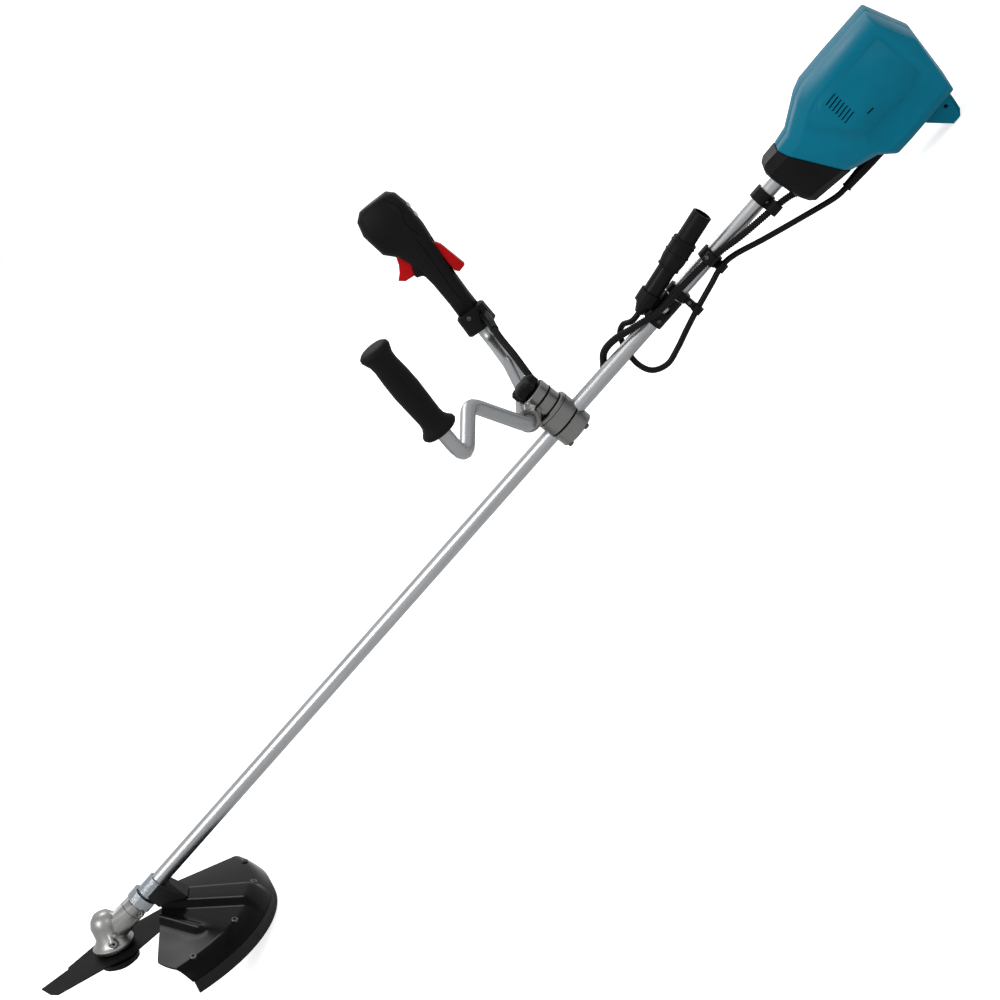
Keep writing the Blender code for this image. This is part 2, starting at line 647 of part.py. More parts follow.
def raise_pad(half, side):
    """The raised panel on the housing's side, with sloping edges."""
    base = HOUSING_HALF_WIDTH - 12.0
    face = HOUSING_HALF_WIDTH + PAD_RAISE
    rear = HOUSING_REAR_X - 24
    outer = [(556, 30), (600, -42), (rear - 40, -50), (rear, -40), (rear, 50), (590, 54)]
    inner = [(571, 26), (606, -32), (rear - 44, -40), (rear - 12, -30), (rear - 12, 42), (598, 44)]
    rings = [[(x, side * base, z) for x, z in outer], [(x, side * face, z) for x, z in inner]]
    guide(half, loft("pad", rings), root, None, "UNION")


def raise_foot(half, side):
    """Half of the rear foot, cut level with the floor, with its cross hole."""
    low_front = FOOT_Z - FLOOR_SLOPE * FOOT_TREAD
    outline = [(FOOT_FRONT_X, HOUSING_BOTTOM_Z + 8), (FOOT_FRONT_X, HOUSING_BOTTOM_Z - 6),
               (FOOT_LOW.x - FOOT_TREAD, low_front), (FOOT_LOW.x, FOOT_Z), (FOOT_REAR_X, FOOT_Z + 8),
               (FOOT_REAR_X + 8, HOUSING_BOTTOM_Z + 8)]
    rings = [[(x, side * y, z) for x, z in outline] for y in (GAP / 2, FOOT_HALF_WIDTH)]
    guide(half, loft("foot", rings), root, None, "UNION")
    hole = lathe("hole", [(3.0, FOOT_HALF_WIDTH + 9), (3.0, -9.0)], 16)
    guide(half, hole, root, moved(along((FOOT_REAR_X - 11, 0, HOUSING_BOTTOM_Z - 11), (0, side, 0))))


def slit(half, side, index):
    """One cooling slit of the row through the side panel."""
    z = 36.0 - 6.2 * index
    x = 611.0 - 0.4 * index
    reach = HOUSING_HALF_WIDTH + 12
    outline = [(x - 11, z + 0.2), (x + 9, z + 1.6), (x + 11, z - 0.2), (x - 9, z - 1.6)]
    rings = [[(px, side * y, pz) for px, pz in outline] for y in (HOUSING_HALF_WIDTH - 14, reach)]
    guide(half, loft("slit", rings), root)


def nose():
    """The black nose that takes the pipe and closes the housing's front."""
    stations = ((NOSE_FRONT_X, NOSE_FRONT_X + 6, 22.0, -42.0, 26.0),
                (NOSE_FRONT_X + 4, NOSE_FRONT_X + 11, 30.0, -50.0, 34.0),
                (NOSE_FRONT_X + 12, NOSE_FRONT_X + 18, SEAM_TOP_Z, -56.0, 38.0),
                (NOSE_SEAM_TOP_X - GAP, NOSE_SEAM_BOTTOM_X - GAP, SEAM_TOP_Z, SEAM_BOTTOM_Z, SEAM_HALF))
    rings = []
    for s in stations:
        right = housing_ring(s, 1, 0.0, 0.0)
        left = housing_ring(s, -1, 0.0, 0.0)
        rings.append(right + left[-2:0:-1])
    body = add("nose", loft("nose", rings), "black", root)
    bore = lathe("bore", [(PIPE_R + GAP, PIPE_REAR_X + GAP), (PIPE_R + GAP, NOSE_FRONT_X - 10)], 26)
    guide(body, bore, root, moved(XAXIS))
    way = lathe("way", [(SHAFT_R + 2.0, NOSE_SEAM_BOTTOM_X), (SHAFT_R + 2.0, PIPE_REAR_X - 4)], 18)
    guide(body, way, root, moved(XAXIS))
    inlet = lathe("inlet", [(SLEEVE_R + GAP, 18.0), (SLEEVE_R + GAP, -18.0)], 20)
    inward = Vector(SLEEVE_POINTS[0]) - Vector(SLEEVE_POINTS[1])
    guide(body, inlet, root, moved(along(SLEEVE_POINTS[0], inward)))


def motor():
    wall = HOUSING_HALF_WIDTH - HOUSING_WALL - GAP
    front = MOTOR_X + BEARING_WIDTH
    case = [(BEARING_R + GAP, front), (BEARING_R + GAP, MOTOR_X), (MOTOR_R - 4, MOTOR_X),
            (MOTOR_R, MOTOR_X + 4),
            (MOTOR_R, PLATE_X - GAP), (STATOR_R + GAP, PLATE_X - GAP), (STATOR_R + GAP, front)]
    add("motor_case", lathe("motor_case", case, 24, bore=True), "cast", root, moved(XAXIS))
    ring_x("stator", "copper", root, front + 5, PLATE_X - 8, STATOR_R, STATOR_BORE_R, 24)
    outline = [(-wall, -52), (-46, -70), (46, -70), (wall, -52),
               (wall, 36), (38, 60), (-38, 60), (-wall, 36)]
    plate = prism("motor_plate", outline, PLATE_X, PLATE_X + PLATE_THICK)
    flat = Matrix(((0, 0, 1, 0), (1, 0, 0, 0), (0, 1, 0, 0), (0, 0, 0, 1)))
    mount = add("motor_plate", plate, "cast", root, moved(flat))
    eye = lathe("eye", [(BEARING_R + GAP, PLATE_X + 20), (BEARING_R + GAP, PLATE_X - 20)], 20)
    guide(mount, eye, root, moved(XAXIS))
    bearing("front_bearing", root, along((MOTOR_X + BEARING_WIDTH / 2, 0, 0), (1, 0, 0)), SHAFT_R + RUN_GAP,
            BEARING_R, BEARING_WIDTH - 0.4)
    bearing("rear_bearing", root, along((PLATE_X + PLATE_THICK / 2, 0, 0), (1, 0, 0)), SHAFT_R + RUN_GAP,
            BEARING_R, BEARING_WIDTH - 0.4)
    axle = [(SHAFT_R, FAN_X + FAN_WIDTH), (SHAFT_R, PLATE_X - 6), (ROTOR_R, PLATE_X - 7),
            (ROTOR_R, front + 4),
            (SHAFT_R, front + 3), (SHAFT_R, CASE_END)]
    add("rotor", lathe("rotor", axle, 20), "steel", drive, moved(XAXIS))
    ring_x("coupling", "zinc", drive, CASE_END - COUPLING_LENGTH / 2, CASE_END + 15, COUPLING_R,
           SHAFT_R + GAP, 20)
    fan()
    rear = CONTROL_X + CONTROL_LENGTH
    box = [(-wall, -56), (-wall + 8, -64), (wall - 8, -64), (wall, -56), (wall, 34), (wall - 10, 44),
           (-wall + 10, 44), (-wall, 34)]
    unit = add("controller", prism("controller", box, CONTROL_X, rear), "cast", root, moved(flat))
    for i in range(6):
        low = -46 + i * 15
        groove = prism("groove", [(-70, low), (70, low), (70, low + 6), (-70, low + 6)],
                       rear - 9, rear + 5)
        guide(unit, groove, root, moved(flat))


def fan():
    """The cooling fan on the rotor's tail, with straight blades on a disc."""
    tail = FAN_X + FAN_WIDTH
    hub = [(SHAFT_R + GAP, tail), (SHAFT_R + GAP, FAN_X), (FAN_R, FAN_X), (FAN_R, FAN_X + 2.0),
           (12.0, FAN_X + 2.5), (9.0, tail)]
    wheel = add("cooling_fan", lathe("cooling_fan", hub, 24, bore=True), "black", drive, moved(XAXIS))
    blade = [(10.5, -0.9), (FAN_R - 1.0, -0.9), (FAN_R - 1.0, 0.9), (10.5, 0.9)]
    for i in range(9):
        turn = Matrix.Rotation(2 * math.pi * i / 9, 4, "Z")
        guide(wheel, prism("blade", blade, FAN_X + 1.0, tail - 1.0), drive, moved(XAXIS @ turn), "UNION")


# Bracket on the pipe and the clamp that swivels on it
def stack(name, kind, parent, low, high, radius, edge=1.5):
    profile = [(0.0, high), (radius - edge, high), (radius, high - edge), (radius, low + edge),
               (radius - edge, low), (0.0, low)]
    return add(name, lathe(name, profile, 26), kind, parent)


def bracket():
    lower = stack("bracket_lower", "cast", root, BASE_BOTTOM_Z, -GAP, BRACKET_R)
    base = stack("bracket_base", "cast", root, GAP, BASE_TOP_Z - GAP, BRACKET_R + 1.5)
    pipe_way = [(PIPE_R + GAP, 60.0), (PIPE_R + GAP, -60.0)]
    bolt_way = [(BOLT_R + GAP, 90.0), (BOLT_R + GAP, PIPE_R + 3)]
    for piece in (lower, base):
        guide(piece, lathe("pipe_way", pipe_way, 32), root, moved(XAXIS))
    guide(base, lathe("bolt_way", bolt_way, 20), root)
    holder = stack("handle_holder", "cast", swivel, BASE_TOP_Z, BAR_Z - GAP / 2, HOLDER_R)
    cap = stack("handle_cap", "cast", swivel, BAR_Z + GAP / 2, CAP_TOP_Z, HOLDER_R)
    across = along((BAR_X, 0, BAR_Z), (0, 1, 0))
    for piece, low, high in ((holder, BASE_TOP_Z - 20, BAR_Z - GAP / 2),
                             (cap, BAR_Z + GAP / 2, CAP_TOP_Z + 40)):
        boss = lathe("boss", [(BOSS_R, HOLDER_HALF), (BOSS_R, -HOLDER_HALF)], 24)
        helper = add(piece.name + ".boss", boss, None, swivel, moved(across))
        slab = [(-90, -90), (90, -90), (90, 90), (-90, 90)]
        keep = add(piece.name + ".keep", prism("keep", slab, low, high), None, swivel)
        boolean(helper, keep, "INTERSECT")
        boolean(piece, helper, "UNION")
        bar_way = lathe("bar_way", [(BAR_R + GAP, 90.0), (BAR_R + GAP, -90.0)], 24)
        guide(piece, bar_way, swivel, moved(across))
        guide(piece, lathe("bolt_way", bolt_way, 20), swivel)
    bolt = [(BOLT_R, CAP_TOP_Z + KNOB_HEIGHT * 0.6), (BOLT_R, PIPE_R + 4)]
    add("knob_bolt", lathe("knob_bolt", bolt, 20), "zinc", root)
    star = []
    for i in range(48):
        t = 2 * math.pi * i / 48
        r = KNOB_R - 3.0 + 3.0 * math.cos(6 * t)
        star.append((r * math.cos(t), r * math.sin(t)))
    low = CAP_TOP_Z + GAP
    levels = ((0.7, low), (1.0, low + 4), (1.0, low + KNOB_HEIGHT - 5), (0.8, low + KNOB_HEIGHT - 1),
              (0.45, low + KNOB_HEIGHT))
    knob_mesh = loft("knob", [[(x * f, y * f, z) for x, y in star] for f, z in levels])
    turner = add("knob", knob_mesh, "black", knob_axis)
    top = CAP_TOP_Z + KNOB_HEIGHT * 0.6 + GAP
    guide(turner, lathe("tap", [(BOLT_R + GAP, top), (BOLT_R + GAP, low - 5)], 20),
          knob_axis)


def rounded(points, radius):
    """Straight runs joined by round bends."""
    pts = [Vector(p) for p in points]
    out = [pts[0]]
    for a, b, c in zip(pts, pts[1:], pts[2:]):
        u = (a - b).normalized()
        v = (c - b).normalized()
        half = u.angle(v) / 2
        run = min(radius / math.tan(half), 0.48 * (a - b).length, 0.48 * (c - b).length)
        for i in range(7):
            t = i / 6
            out.append((b + u * run) * (1 - t) ** 2 + b * 2 * t * (1 - t) + (b + v * run) * t * t)
    return out + [pts[-1]]


# Handle: the bent bar, the plain left grip and the right grip with its controls
LEFT_FOOT = Vector((-63, -250, 180))
LEFT_DIR = Vector((0.225, -0.128, 0.966)).normalized()
RIGHT_FOOT = Vector((-25, 250, 132))
RIGHT_DIR = Vector((0.2007, 0.1045, 0.974)).normalized()
RIGHT_BAR_REACH = 100.0
LEFT_BAR_REACH = 140.0


def handlebar():
    points = [LEFT_FOOT + LEFT_DIR * LEFT_BAR_REACH, LEFT_FOOT - LEFT_DIR * 58, (-39, -130, 152),
              (BAR_X, -66, BAR_Z), (BAR_X, 66, BAR_Z), (-12, 118, 92), RIGHT_FOOT - RIGHT_DIR * 26,
              RIGHT_FOOT + RIGHT_DIR * RIGHT_BAR_REACH]
    path = rounded(points, BEND_R)
    add("handlebar", tube_curve("handlebar", path, BAR_R, 4), "silver", swivel)


def left_grip():
    r = LEFT_GRIP_R
    end = LEFT_GRIP_LENGTH
    profile = [(0.0, end), (r * 0.9, end - 1), (r * 1.2, end - 6), (r * 1.22, end - 14),
               (r * 1.04, end - 28), (r, end * 0.5), (r * 0.97, 24.0), (r * 1.1, 14.0),
               (r * 1.42, 7.0), (r * 1.42, 2.0), (r * 1.2, 0.0),
               (0.0, 0.0)]
    at = moved(along(LEFT_FOOT, LEFT_DIR))
    grip = add("left_grip", lathe("left_grip", profile, 20), "black", swivel, at)
    bore = lathe("bore", [(BAR_R + GAP, LEFT_BAR_REACH + GAP), (BAR_R + GAP, -20.0)], 20)
    guide(grip, bore, swivel, moved(along(LEFT_FOOT, LEFT_DIR)))


GRIP = along(RIGHT_FOOT, RIGHT_DIR, (-1, 0, 0))


def grip_ring(along_axis, front, back, half):
    """A rounded section of the right grip: local x is the front, y across, z along."""
    ring = []
    mid = (front - back) / 2
    deep = (front + back) / 2
    for i in range(16):
        t = 2 * math.pi * i / 16
        c, s = math.cos(t), math.sin(t)
        ring.append((mid + deep * math.copysign(abs(c) ** 0.7, c), half * math.copysign(abs(s) ** 0.7, s),
                     along_axis))
    return ring


def right_grip():
    start = COLLAR_LENGTH + GAP
    rings = [grip_ring(start, 18, 18, 17), grip_ring(60, 17, 18, 17), grip_ring(100, 18, 20, 17),
             grip_ring(140, 23, 24, 18), grip_ring(165, 34, 27, 21), grip_ring(182, 50, 29, 25),
             grip_ring(222, 56, 29, 26), grip_ring(244, 50, 24, 24), grip_ring(254, 38, 14, 19)]
    grip = add("right_grip", loft("right_grip", rings), "black", swivel, moved(GRIP))
    bore = lathe("bore", [(BAR_R + GAP, RIGHT_BAR_REACH + GAP), (BAR_R + GAP, 0.0)], 20)
    guide(grip, bore, swivel, moved(GRIP))
    slot = prism("slot", [(13, -7.5), (60, -7.5), (60, 7.5), (13, 7.5)], 112, 172)
    guide(grip, slot, swivel, moved(GRIP))
    rear = prism("rear", [(-40, -6.5), (-14.5, -6.5), (-14.5, 6.5), (-40, 6.5)], 92, 158)
    guide(grip, rear, swivel, moved(GRIP))
    for place in BUTTON_PLACES:
        hole = lathe("hole", [(BUTTON_R + GAP, 20.0), (BUTTON_R + GAP, -6.0)], 20)
        guide(grip, hole, swivel, moved(GRIP @ along(place, (-1, 0, 0))))
    collar = [grip_ring(0, 22, 22, 17), grip_ring(3, 25, 27, 19), grip_ring(COLLAR_LENGTH - 3, 24, 26, 19),
              grip_ring(COLLAR_LENGTH, 21, 22, 17)]
    block = add("grip_collar", loft("grip_collar", collar), "black", swivel, moved(GRIP))
    guide(block, lathe("bore", [(BAR_R + GAP, 60.0), (BAR_R + GAP, -20.0)], 20), swivel, moved(GRIP))
    inlet = lathe("inlet", [(SLEEVE_R + GAP, 1.0), (SLEEVE_R + GAP, -30.0)], 18)
    run = Vector(CABLE_POINTS[-1]) - Vector(CABLE_POINTS[-2])
    guide(block, inlet, swivel, moved(along(CABLE_POINTS[-1], run)))


BUTTON_PLACES = ((-18.0, 0.0, 200.0), (-18.0, 0.0, 218.0))
TRIGGER_PIVOT = (24.0, 0.0, 164.0)
LOCK_PIVOT = (-20.0, 0.0, 150.0)


def levers():
    """Trigger in front, lock-off lever behind, both pivoted across the grip."""
    trigger = [(26, 167), (36, 158), (47, 138), (46, 122), (41, 118),
               (38, 128), (31, 140), (22, 148), (19, 160)]
    lock = [(-18, 154), (-27, 152), (-34, 128), (-31, 104), (-26, 97), (-24, 104), (-22, 130), (-17.5, 146)]
    red_trigger = prism("trigger", trigger, -6.5, 6.5)
    add("trigger", red_trigger, "red", trigger_axis, moved(GRIP @ UPRIGHT))
    add("lock_lever", prism("lock_lever", lock, -5.5, 5.5), "red", lock_axis, moved(GRIP @ UPRIGHT))
    for name, place, carrier in zip(("power_button", "speed_button"), BUTTON_PLACES, button_axes):
        key = [(0.0, 12.6), (BUTTON_R - 1, 12.6), (BUTTON_R, 11.6), (BUTTON_R, 0.0), (0.0, 0.0)]
        add(name, lathe(name, key, 20), "pale", carrier, moved(GRIP @ along(place, (-1, 0, 0))))


# Clips, hanger and the plug that parks beside it
def clip(name, x, width, seats, wall=3.4):
    """A moulded clip round the pipe with an eye for each lead, in line with that lead."""
    outer = PIPE_R + GAP + wall
    drum = lathe(name, [(outer, x + width / 2), (outer, x - width / 2)], 24)
    body = add(name, drum, "black", root, moved(XAXIS))
    for i, (route, index, radius) in enumerate(seats):
        at = Vector(route[index])
        reach = width / 2 - 1.1 * (i + 1)
        holder = lathe("holder", [(radius + 3.0, reach), (radius + 3.0, -reach)], 18)
        guide(body, holder, root, moved(along(at, (1, 0, 0))), "UNION")
        arm = reach - 0.7
        tall = math.hypot(at.y, at.z) - 1.3
        web = prism("web", [(-arm, -4.1), (arm, -4.1), (arm, 4.1), (-arm, 4.1)], PIPE_R + 1.1, tall)
        guide(body, web, root, moved(along((x, 0, 0), (0, at.y, at.z), (1, 0, 0))), "UNION")
    bore = lathe("bore", [(PIPE_R + GAP, x + width), (PIPE_R + GAP, x - width)], 26)
    guide(body, bore, root, moved(XAXIS))
    for route, index, radius in seats:
        way = lathe("way", [(radius, width), (radius, -width)], 20)
        run = Vector(route[index - 1]) - Vector(route[index + 1])
        guide(body, way, root, moved(along(route[index], run)))


def hanger():
    clip("upper_clip", 436.0, 20.0, ((SLEEVE_POINTS, 2, SLEEVE_R + 0.9),))
    clip("middle_clip", 322.0, 18.0, ((SLEEVE_POINTS, 4, SLEEVE_R + 0.9), (CORD_POINTS, 5, CORD_R + 0.9)))
    clip("cord_holder", 252.0, 14.0, ((CORD_POINTS, 7, CORD_R + 0.9),), wall=5.5)
    body = ring_x("hanger_clamp", "black", root, 194.0, 242.0, PIPE_R + GAP + 4.0, PIPE_R + GAP, 26)
    eye = lathe("eye", [(6.0, 40.0), (6.0, 2.0)], 20)
    guide(body, eye, root, moved(along((222.0, 0, -2.0), (0, -1, 0))))
    cradle = lathe("cradle", [(PLUG_R + 1.2, 10.0), (PLUG_R + 1.2, -10.0)], 18)
    guide(body, cradle, root, moved(along(PLUG_FOOT + PLUG_DIR * 8, PLUG_DIR)), "UNION")
    inside = lathe("inside", [(PLUG_R - 2.0 + GAP, 60.0), (PLUG_R - 2.0 + GAP, -60.0)], 18)
    guide(body, inside, root, moved(along(PLUG_FOOT + PLUG_DIR * 8, PLUG_DIR)))
    guide(body, lathe("bore", [(PIPE_R + GAP, 300), (PIPE_R + GAP, 150)], 26), root, moved(XAXIS))


PLUG_FOOT = Vector((212.0, -8.0, 28.0))
PLUG_DIR = Vector((0.98, -0.05, 0.16)).normalized()


def plug():
    """The round connector: tapered boot, locking collar and open mouth."""
    at = moved(along(PLUG_FOOT, PLUG_DIR))
    r = PLUG_R
    bore = CORD_R + 0.6
    first = PLUG_COLLAR_AT
    second = PLUG_MOUTH_AT
    boot = [(bore, 0.0), (bore, -18.0), (CORD_R + 3.0, -18.0), (r - 2, -2.0), (r - 2, first), (bore, first)]
    add("plug_boot", lathe("plug_boot", boot, 20, bore=True), "black", root, at)
    collar = [(4.0, first + GAP), (r - 1, first + GAP), (r, first + 4), (r + 2, first + 16),
              (r + 2, second - 4), (r, second), (4.0, second)]
    add("plug_collar", lathe("plug_collar", collar[::-1], 24, bore=True), "black", root, at)
    mouth = [(r - 4, PLUG_END), (r - 4, second + 4), (4.0, second + 4), (4.0, second + GAP),
             (r - 1, second + GAP), (r - 1, PLUG_END - 1.5), (r - 2, PLUG_END)]
    add("plug_mouth", lathe("plug_mouth", mouth, 24, bore=True), "black", root, at)


# Leads: power cord from the boot to the plug, and the ribbed sleeve over the control cable
CORD_POINTS = ((520, 0, -83), (500, -1, -80), (450, -6, -62), (391, -10, -40), (348, -10.5, -23.5),
               (322, -10, -20.5), (292, -9.5, -27), (252, -8, -36), (217, -3, -46), (188, 1, -55),
               (160, 3, -60), (138, 6, -50), (130, 14, -30), (134, 22, -4), (146, 20, 18), (162, 10, 27),
               (176, -2, 23.8), (190.4, -6.9, 24.5), (221.8, -8.5, 29.6))
SLEEVE_POINTS = ((474, -4, -34), (462, -9, -27), (436, -15, -20), (376, -20, -10), (322, -21, 2),
                 (268, -22, 6), (220, -24, 8), (176, -18, 18), (140, -4, 25), (112, 14, 20), (90, 24, 2),
                 (60, 34, -14), (30, 41, -14), (8, 43, 0), (2, 44, 17), (2, 44, 25))
CABLE_POINTS = ((2, 44, 26.2), (2, 44, 33), (3, 47, 50), (6, 60, 74), (6, 100, 100), (0, 160, 122),
                (-2, 205, 136), (-4, 228, 142), (-6, 240, 146))


def leads():
    boot = [(0.0, HOUSING_STATIONS[3][1] + 10), (BOOT_R, HOUSING_STATIONS[3][1] + 10), (BOOT_R, 590.0),
            (BOOT_R - 0.6, 560.0), (CORD_R + 2.6, BOOT_END_X + 2), (CORD_R + 1.8, BOOT_END_X),
            (0.0, BOOT_END_X)]
    add("cord_boot", lathe("cord_boot", boot, 18), "black", root, moved(along((0, 0, BOOT_Z), (1, 0, 0))))
    route = smooth_route(CORD_POINTS, 2.2 * 2 * CORD_R)
    add("power_cord", tube_curve("power_cord", route, CORD_R, 2), "black", root)
    ribs = smooth_route(SLEEVE_POINTS, RIB_PITCH / 2)
    small = SLEEVE_ROOT_R / SLEEVE_R
    radii = [1.0 if i % 2 else small for i in range(len(ribs))]
    add("control_sleeve", tube_curve("control_sleeve", ribs, SLEEVE_R, 2, radii), "black", root)
    upper = smooth_route(CABLE_POINTS, RIB_PITCH / 2)
    radii = [1.0 if i % 2 else small for i in range(len(upper))]
    add("handle_cable", tube_curve("handle_cable", upper, SLEEVE_R, 2, radii), "black", swivel)


def joint_empty(name, local, parent):
    return empty(name, tuple(GRIP @ Vector(local)), parent)


knob_axis = empty("knob_axis", (0, 0, CAP_TOP_Z), swivel)
trigger_axis = joint_empty("trigger_axis", TRIGGER_PIVOT, swivel)
lock_axis = joint_empty("lock_axis", LOCK_PIVOT, swivel)
button_axes = [joint_empty(f"button_axis_{i}", place, swivel) for i, place in enumerate(BUTTON_PLACES)]
pipe_and_shaft()
gear_case()
bevel_pair()
cutter_stack()
guard_shell()
guard_skirt()
guard_mount()
housing_half("housing_left", -1)
housing_half("housing_right", 1)
nose()
motor()
bracket()
handlebar()
left_grip()
right_grip()
levers()
hanger()
plug()
leads()
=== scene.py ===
import json
import math

import bpy
import bmesh
from mathutils import Matrix, Vector
from mathutils.bvhtree import BVHTree


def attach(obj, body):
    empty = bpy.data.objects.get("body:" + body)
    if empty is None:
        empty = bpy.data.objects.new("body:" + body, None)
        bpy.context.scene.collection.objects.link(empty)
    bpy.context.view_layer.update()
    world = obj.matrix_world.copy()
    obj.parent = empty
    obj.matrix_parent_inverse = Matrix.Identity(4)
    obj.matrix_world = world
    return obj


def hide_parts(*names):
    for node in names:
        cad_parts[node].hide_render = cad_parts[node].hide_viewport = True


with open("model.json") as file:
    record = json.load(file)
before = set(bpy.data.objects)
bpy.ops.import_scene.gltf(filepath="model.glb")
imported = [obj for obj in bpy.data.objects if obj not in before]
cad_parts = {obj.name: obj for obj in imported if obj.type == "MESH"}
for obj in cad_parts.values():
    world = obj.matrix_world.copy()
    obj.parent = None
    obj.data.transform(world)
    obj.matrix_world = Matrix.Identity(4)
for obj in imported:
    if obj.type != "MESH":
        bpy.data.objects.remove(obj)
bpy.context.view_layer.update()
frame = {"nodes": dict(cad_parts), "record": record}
scene = bpy.context.scene
scene.view_settings.view_transform = "Standard"

# The machine's own axes: x runs along the pipe to the motor, y to the operator's right, z up.
# They come from the drive's and the handle's joints, so that every size below can be given in
# millimetres from the handle bracket on the pipe's centre line.
joints = {joint["name"]: joint for joint in frame["record"]["behaviour"]["joints"]}
pipe_way = Vector(joints["drive_spin"]["axis"])
pipe_up = Vector(joints["handle_swivel"]["axis"])
bar_height = 0.050
mm = 0.001
machine = Matrix((pipe_way, pipe_up.cross(pipe_way), pipe_up)).transposed().to_4x4()
machine.translation = Vector(joints["handle_swivel"]["pos_m"]) - pipe_up * bar_height


def at(x, y, z):
    """A point given in millimetres on the machine, in the row frame in metres."""
    return machine @ Vector((x * mm, y * mm, z * mm))


def toward(x, y, z):
    """A direction on the machine, in the row frame."""
    return (machine.to_3x3() @ Vector((x, y, z))).normalized()


# The camera stands five metres off, 13 degrees above the machine's level and 15 degrees round
# from its left side, rolled so that the pipe climbs across the picture.
def placed(data, name):
    """An object at the origin, linked to the scene."""
    piece = bpy.data.objects.new(name, data)
    scene.collection.objects.link(piece)
    return piece


camera_aim = Vector((-155.5, 0, -6.5))
camera_distance = 5000.0
camera_lens = 122.4
camera_rise = math.radians(13)
camera_round = math.radians(14.867)
pipe_climb = math.radians(48.5)
ground_way = Vector((math.sin(camera_round), -math.cos(camera_round), 0))
back = ground_way * math.cos(camera_rise) + Vector((0, 0, math.sin(camera_rise)))
level = Vector((math.cos(camera_round), math.sin(camera_round), 0))
upright = back.cross(level)
roll = pipe_climb - math.atan2(upright.x, level.x)
right = level * math.cos(roll) - upright * math.sin(roll)
up = level * math.sin(roll) + upright * math.cos(roll)
eye = camera_aim + back * camera_distance
camera = placed(bpy.data.cameras.new("camera"), "camera")
camera.data.sensor_width = 36
camera.data.lens = camera_lens
camera.data.clip_end = 60
stand = machine.to_3x3() @ Matrix((right, up, back)).transposed()
camera.matrix_world = Matrix.Translation(at(*eye)) @ stand.to_4x4()
scene.camera = camera


# The power lead is a round black rubber cable. It leaves the motor housing through a boot, lies
# under the pipe in two holders, and loops round the pipe to the connector on the hanger.
def finish(name, colour, rough, metal=0.0):
    """A material with its Principled shader, ready for its nodes."""
    mat = bpy.data.materials.new(name)
    mat.use_nodes = True
    shader = mat.node_tree.nodes["Principled BSDF"]
    shader.inputs["Base Color"].default_value = (*colour, 1)
    shader.inputs["Roughness"].default_value = rough
    shader.inputs["Metallic"].default_value = metal
    return mat, mat.node_tree, shader


def grain(tree, scale, detail, stretch=(1, 1, 1)):
    """Noise on Object coordinates, stretched along the row axes."""
    place = tree.nodes.new("ShaderNodeTexCoord")
    mapping = tree.nodes.new("ShaderNodeMapping")
    mapping.inputs["Scale"].default_value = stretch
    noise = tree.nodes.new("ShaderNodeTexNoise")
    noise.inputs["Scale"].default_value = scale
    noise.inputs["Detail"].default_value = detail
    tree.links.new(place.outputs["Object"], mapping.inputs["Vector"])
    tree.links.new(mapping.outputs["Vector"], noise.inputs["Vector"])
    return noise.outputs["Fac"]


grain_low, grain_high = 0.3, 0.7


def tint(tree, shader, value, dark, light):
    """Base colour between two shades by a grain's value."""
    ramp = tree.nodes.new("ShaderNodeValToRGB")
    ramp.color_ramp.elements[0].position = grain_low
    ramp.color_ramp.elements[1].position = grain_high
    ramp.color_ramp.elements[0].color = (*dark, 1)
    ramp.color_ramp.elements[1].color = (*light, 1)
    tree.links.new(value, ramp.inputs["Fac"])
    tree.links.new(ramp.outputs["Color"], shader.inputs["Base Color"])


def spread(tree, shader, value, low, high):
    """Roughness between two levels by a grain's value."""
    levels = tree.nodes.new("ShaderNodeMapRange")
    levels.inputs["From Min"].default_value = grain_low
    levels.inputs["From Max"].default_value = grain_high
    levels.inputs["To Min"].default_value = low
    levels.inputs["To Max"].default_value = high
    tree.links.new(value, levels.inputs["Value"])
    tree.links.new(levels.outputs["Result"], shader.inputs["Roughness"])


edge_round = 0.0006


def relief(tree, shader, value, strength, depth):
    """Bump from a grain's value, on normals that round the edges off."""
    eased = tree.nodes.new("ShaderNodeBevel")
    eased.samples = 4
    eased.inputs["Radius"].default_value = edge_round
    bump = tree.nodes.new("ShaderNodeBump")
    bump.inputs["Strength"].default_value = strength
    bump.inputs["Distance"].default_value = depth
    tree.links.new(eased.outputs["Normal"], bump.inputs["Normal"])
    tree.links.new(value, bump.inputs["Height"])
    tree.links.new(bump.outputs["Normal"], shader.inputs["Normal"])


def rubber_finish(name, dark, light, scale, low=0.5, high=0.68):
    """A dull material with a fine grain, between two shades and two levels of roughness."""
    mat, tree, shader = finish(name, dark, low)
    shader.inputs["Specular IOR Level"].default_value = 0.08
    fine = grain(tree, scale, 4)
    tint(tree, shader, fine, dark, light)
    spread(tree, shader, fine, low, high)
    relief(tree, shader, fine, 0.25, 0.0004)
    return mat


lead_rubber = rubber_finish("lead_rubber", (0.004, 0.004, 0.0045), (0.006, 0.006, 0.0065), 900,
                            0.28, 0.4)


def smooth_line(points, step):
    """Points every step along a smooth curve through points given on the machine."""
    knots = [Vector(p) for p in points]
    knots = [knots[0] * 2 - knots[1]] + knots + [knots[-1] * 2 - knots[-2]]
    line = []
    for a, b, c, d in zip(knots, knots[1:], knots[2:], knots[3:]):
        count = max(2, round((c - b).length / step))
        for i in range(count):
            t = i / count
            line.append(0.5 * ((2 * b) + (c - a) * t + (2 * a - 5 * b + 4 * c - d) * t * t
                               + (3 * b - a - 3 * c + d) * t ** 3))
    line.append(knots[-2])
    return [at(*p) for p in line]


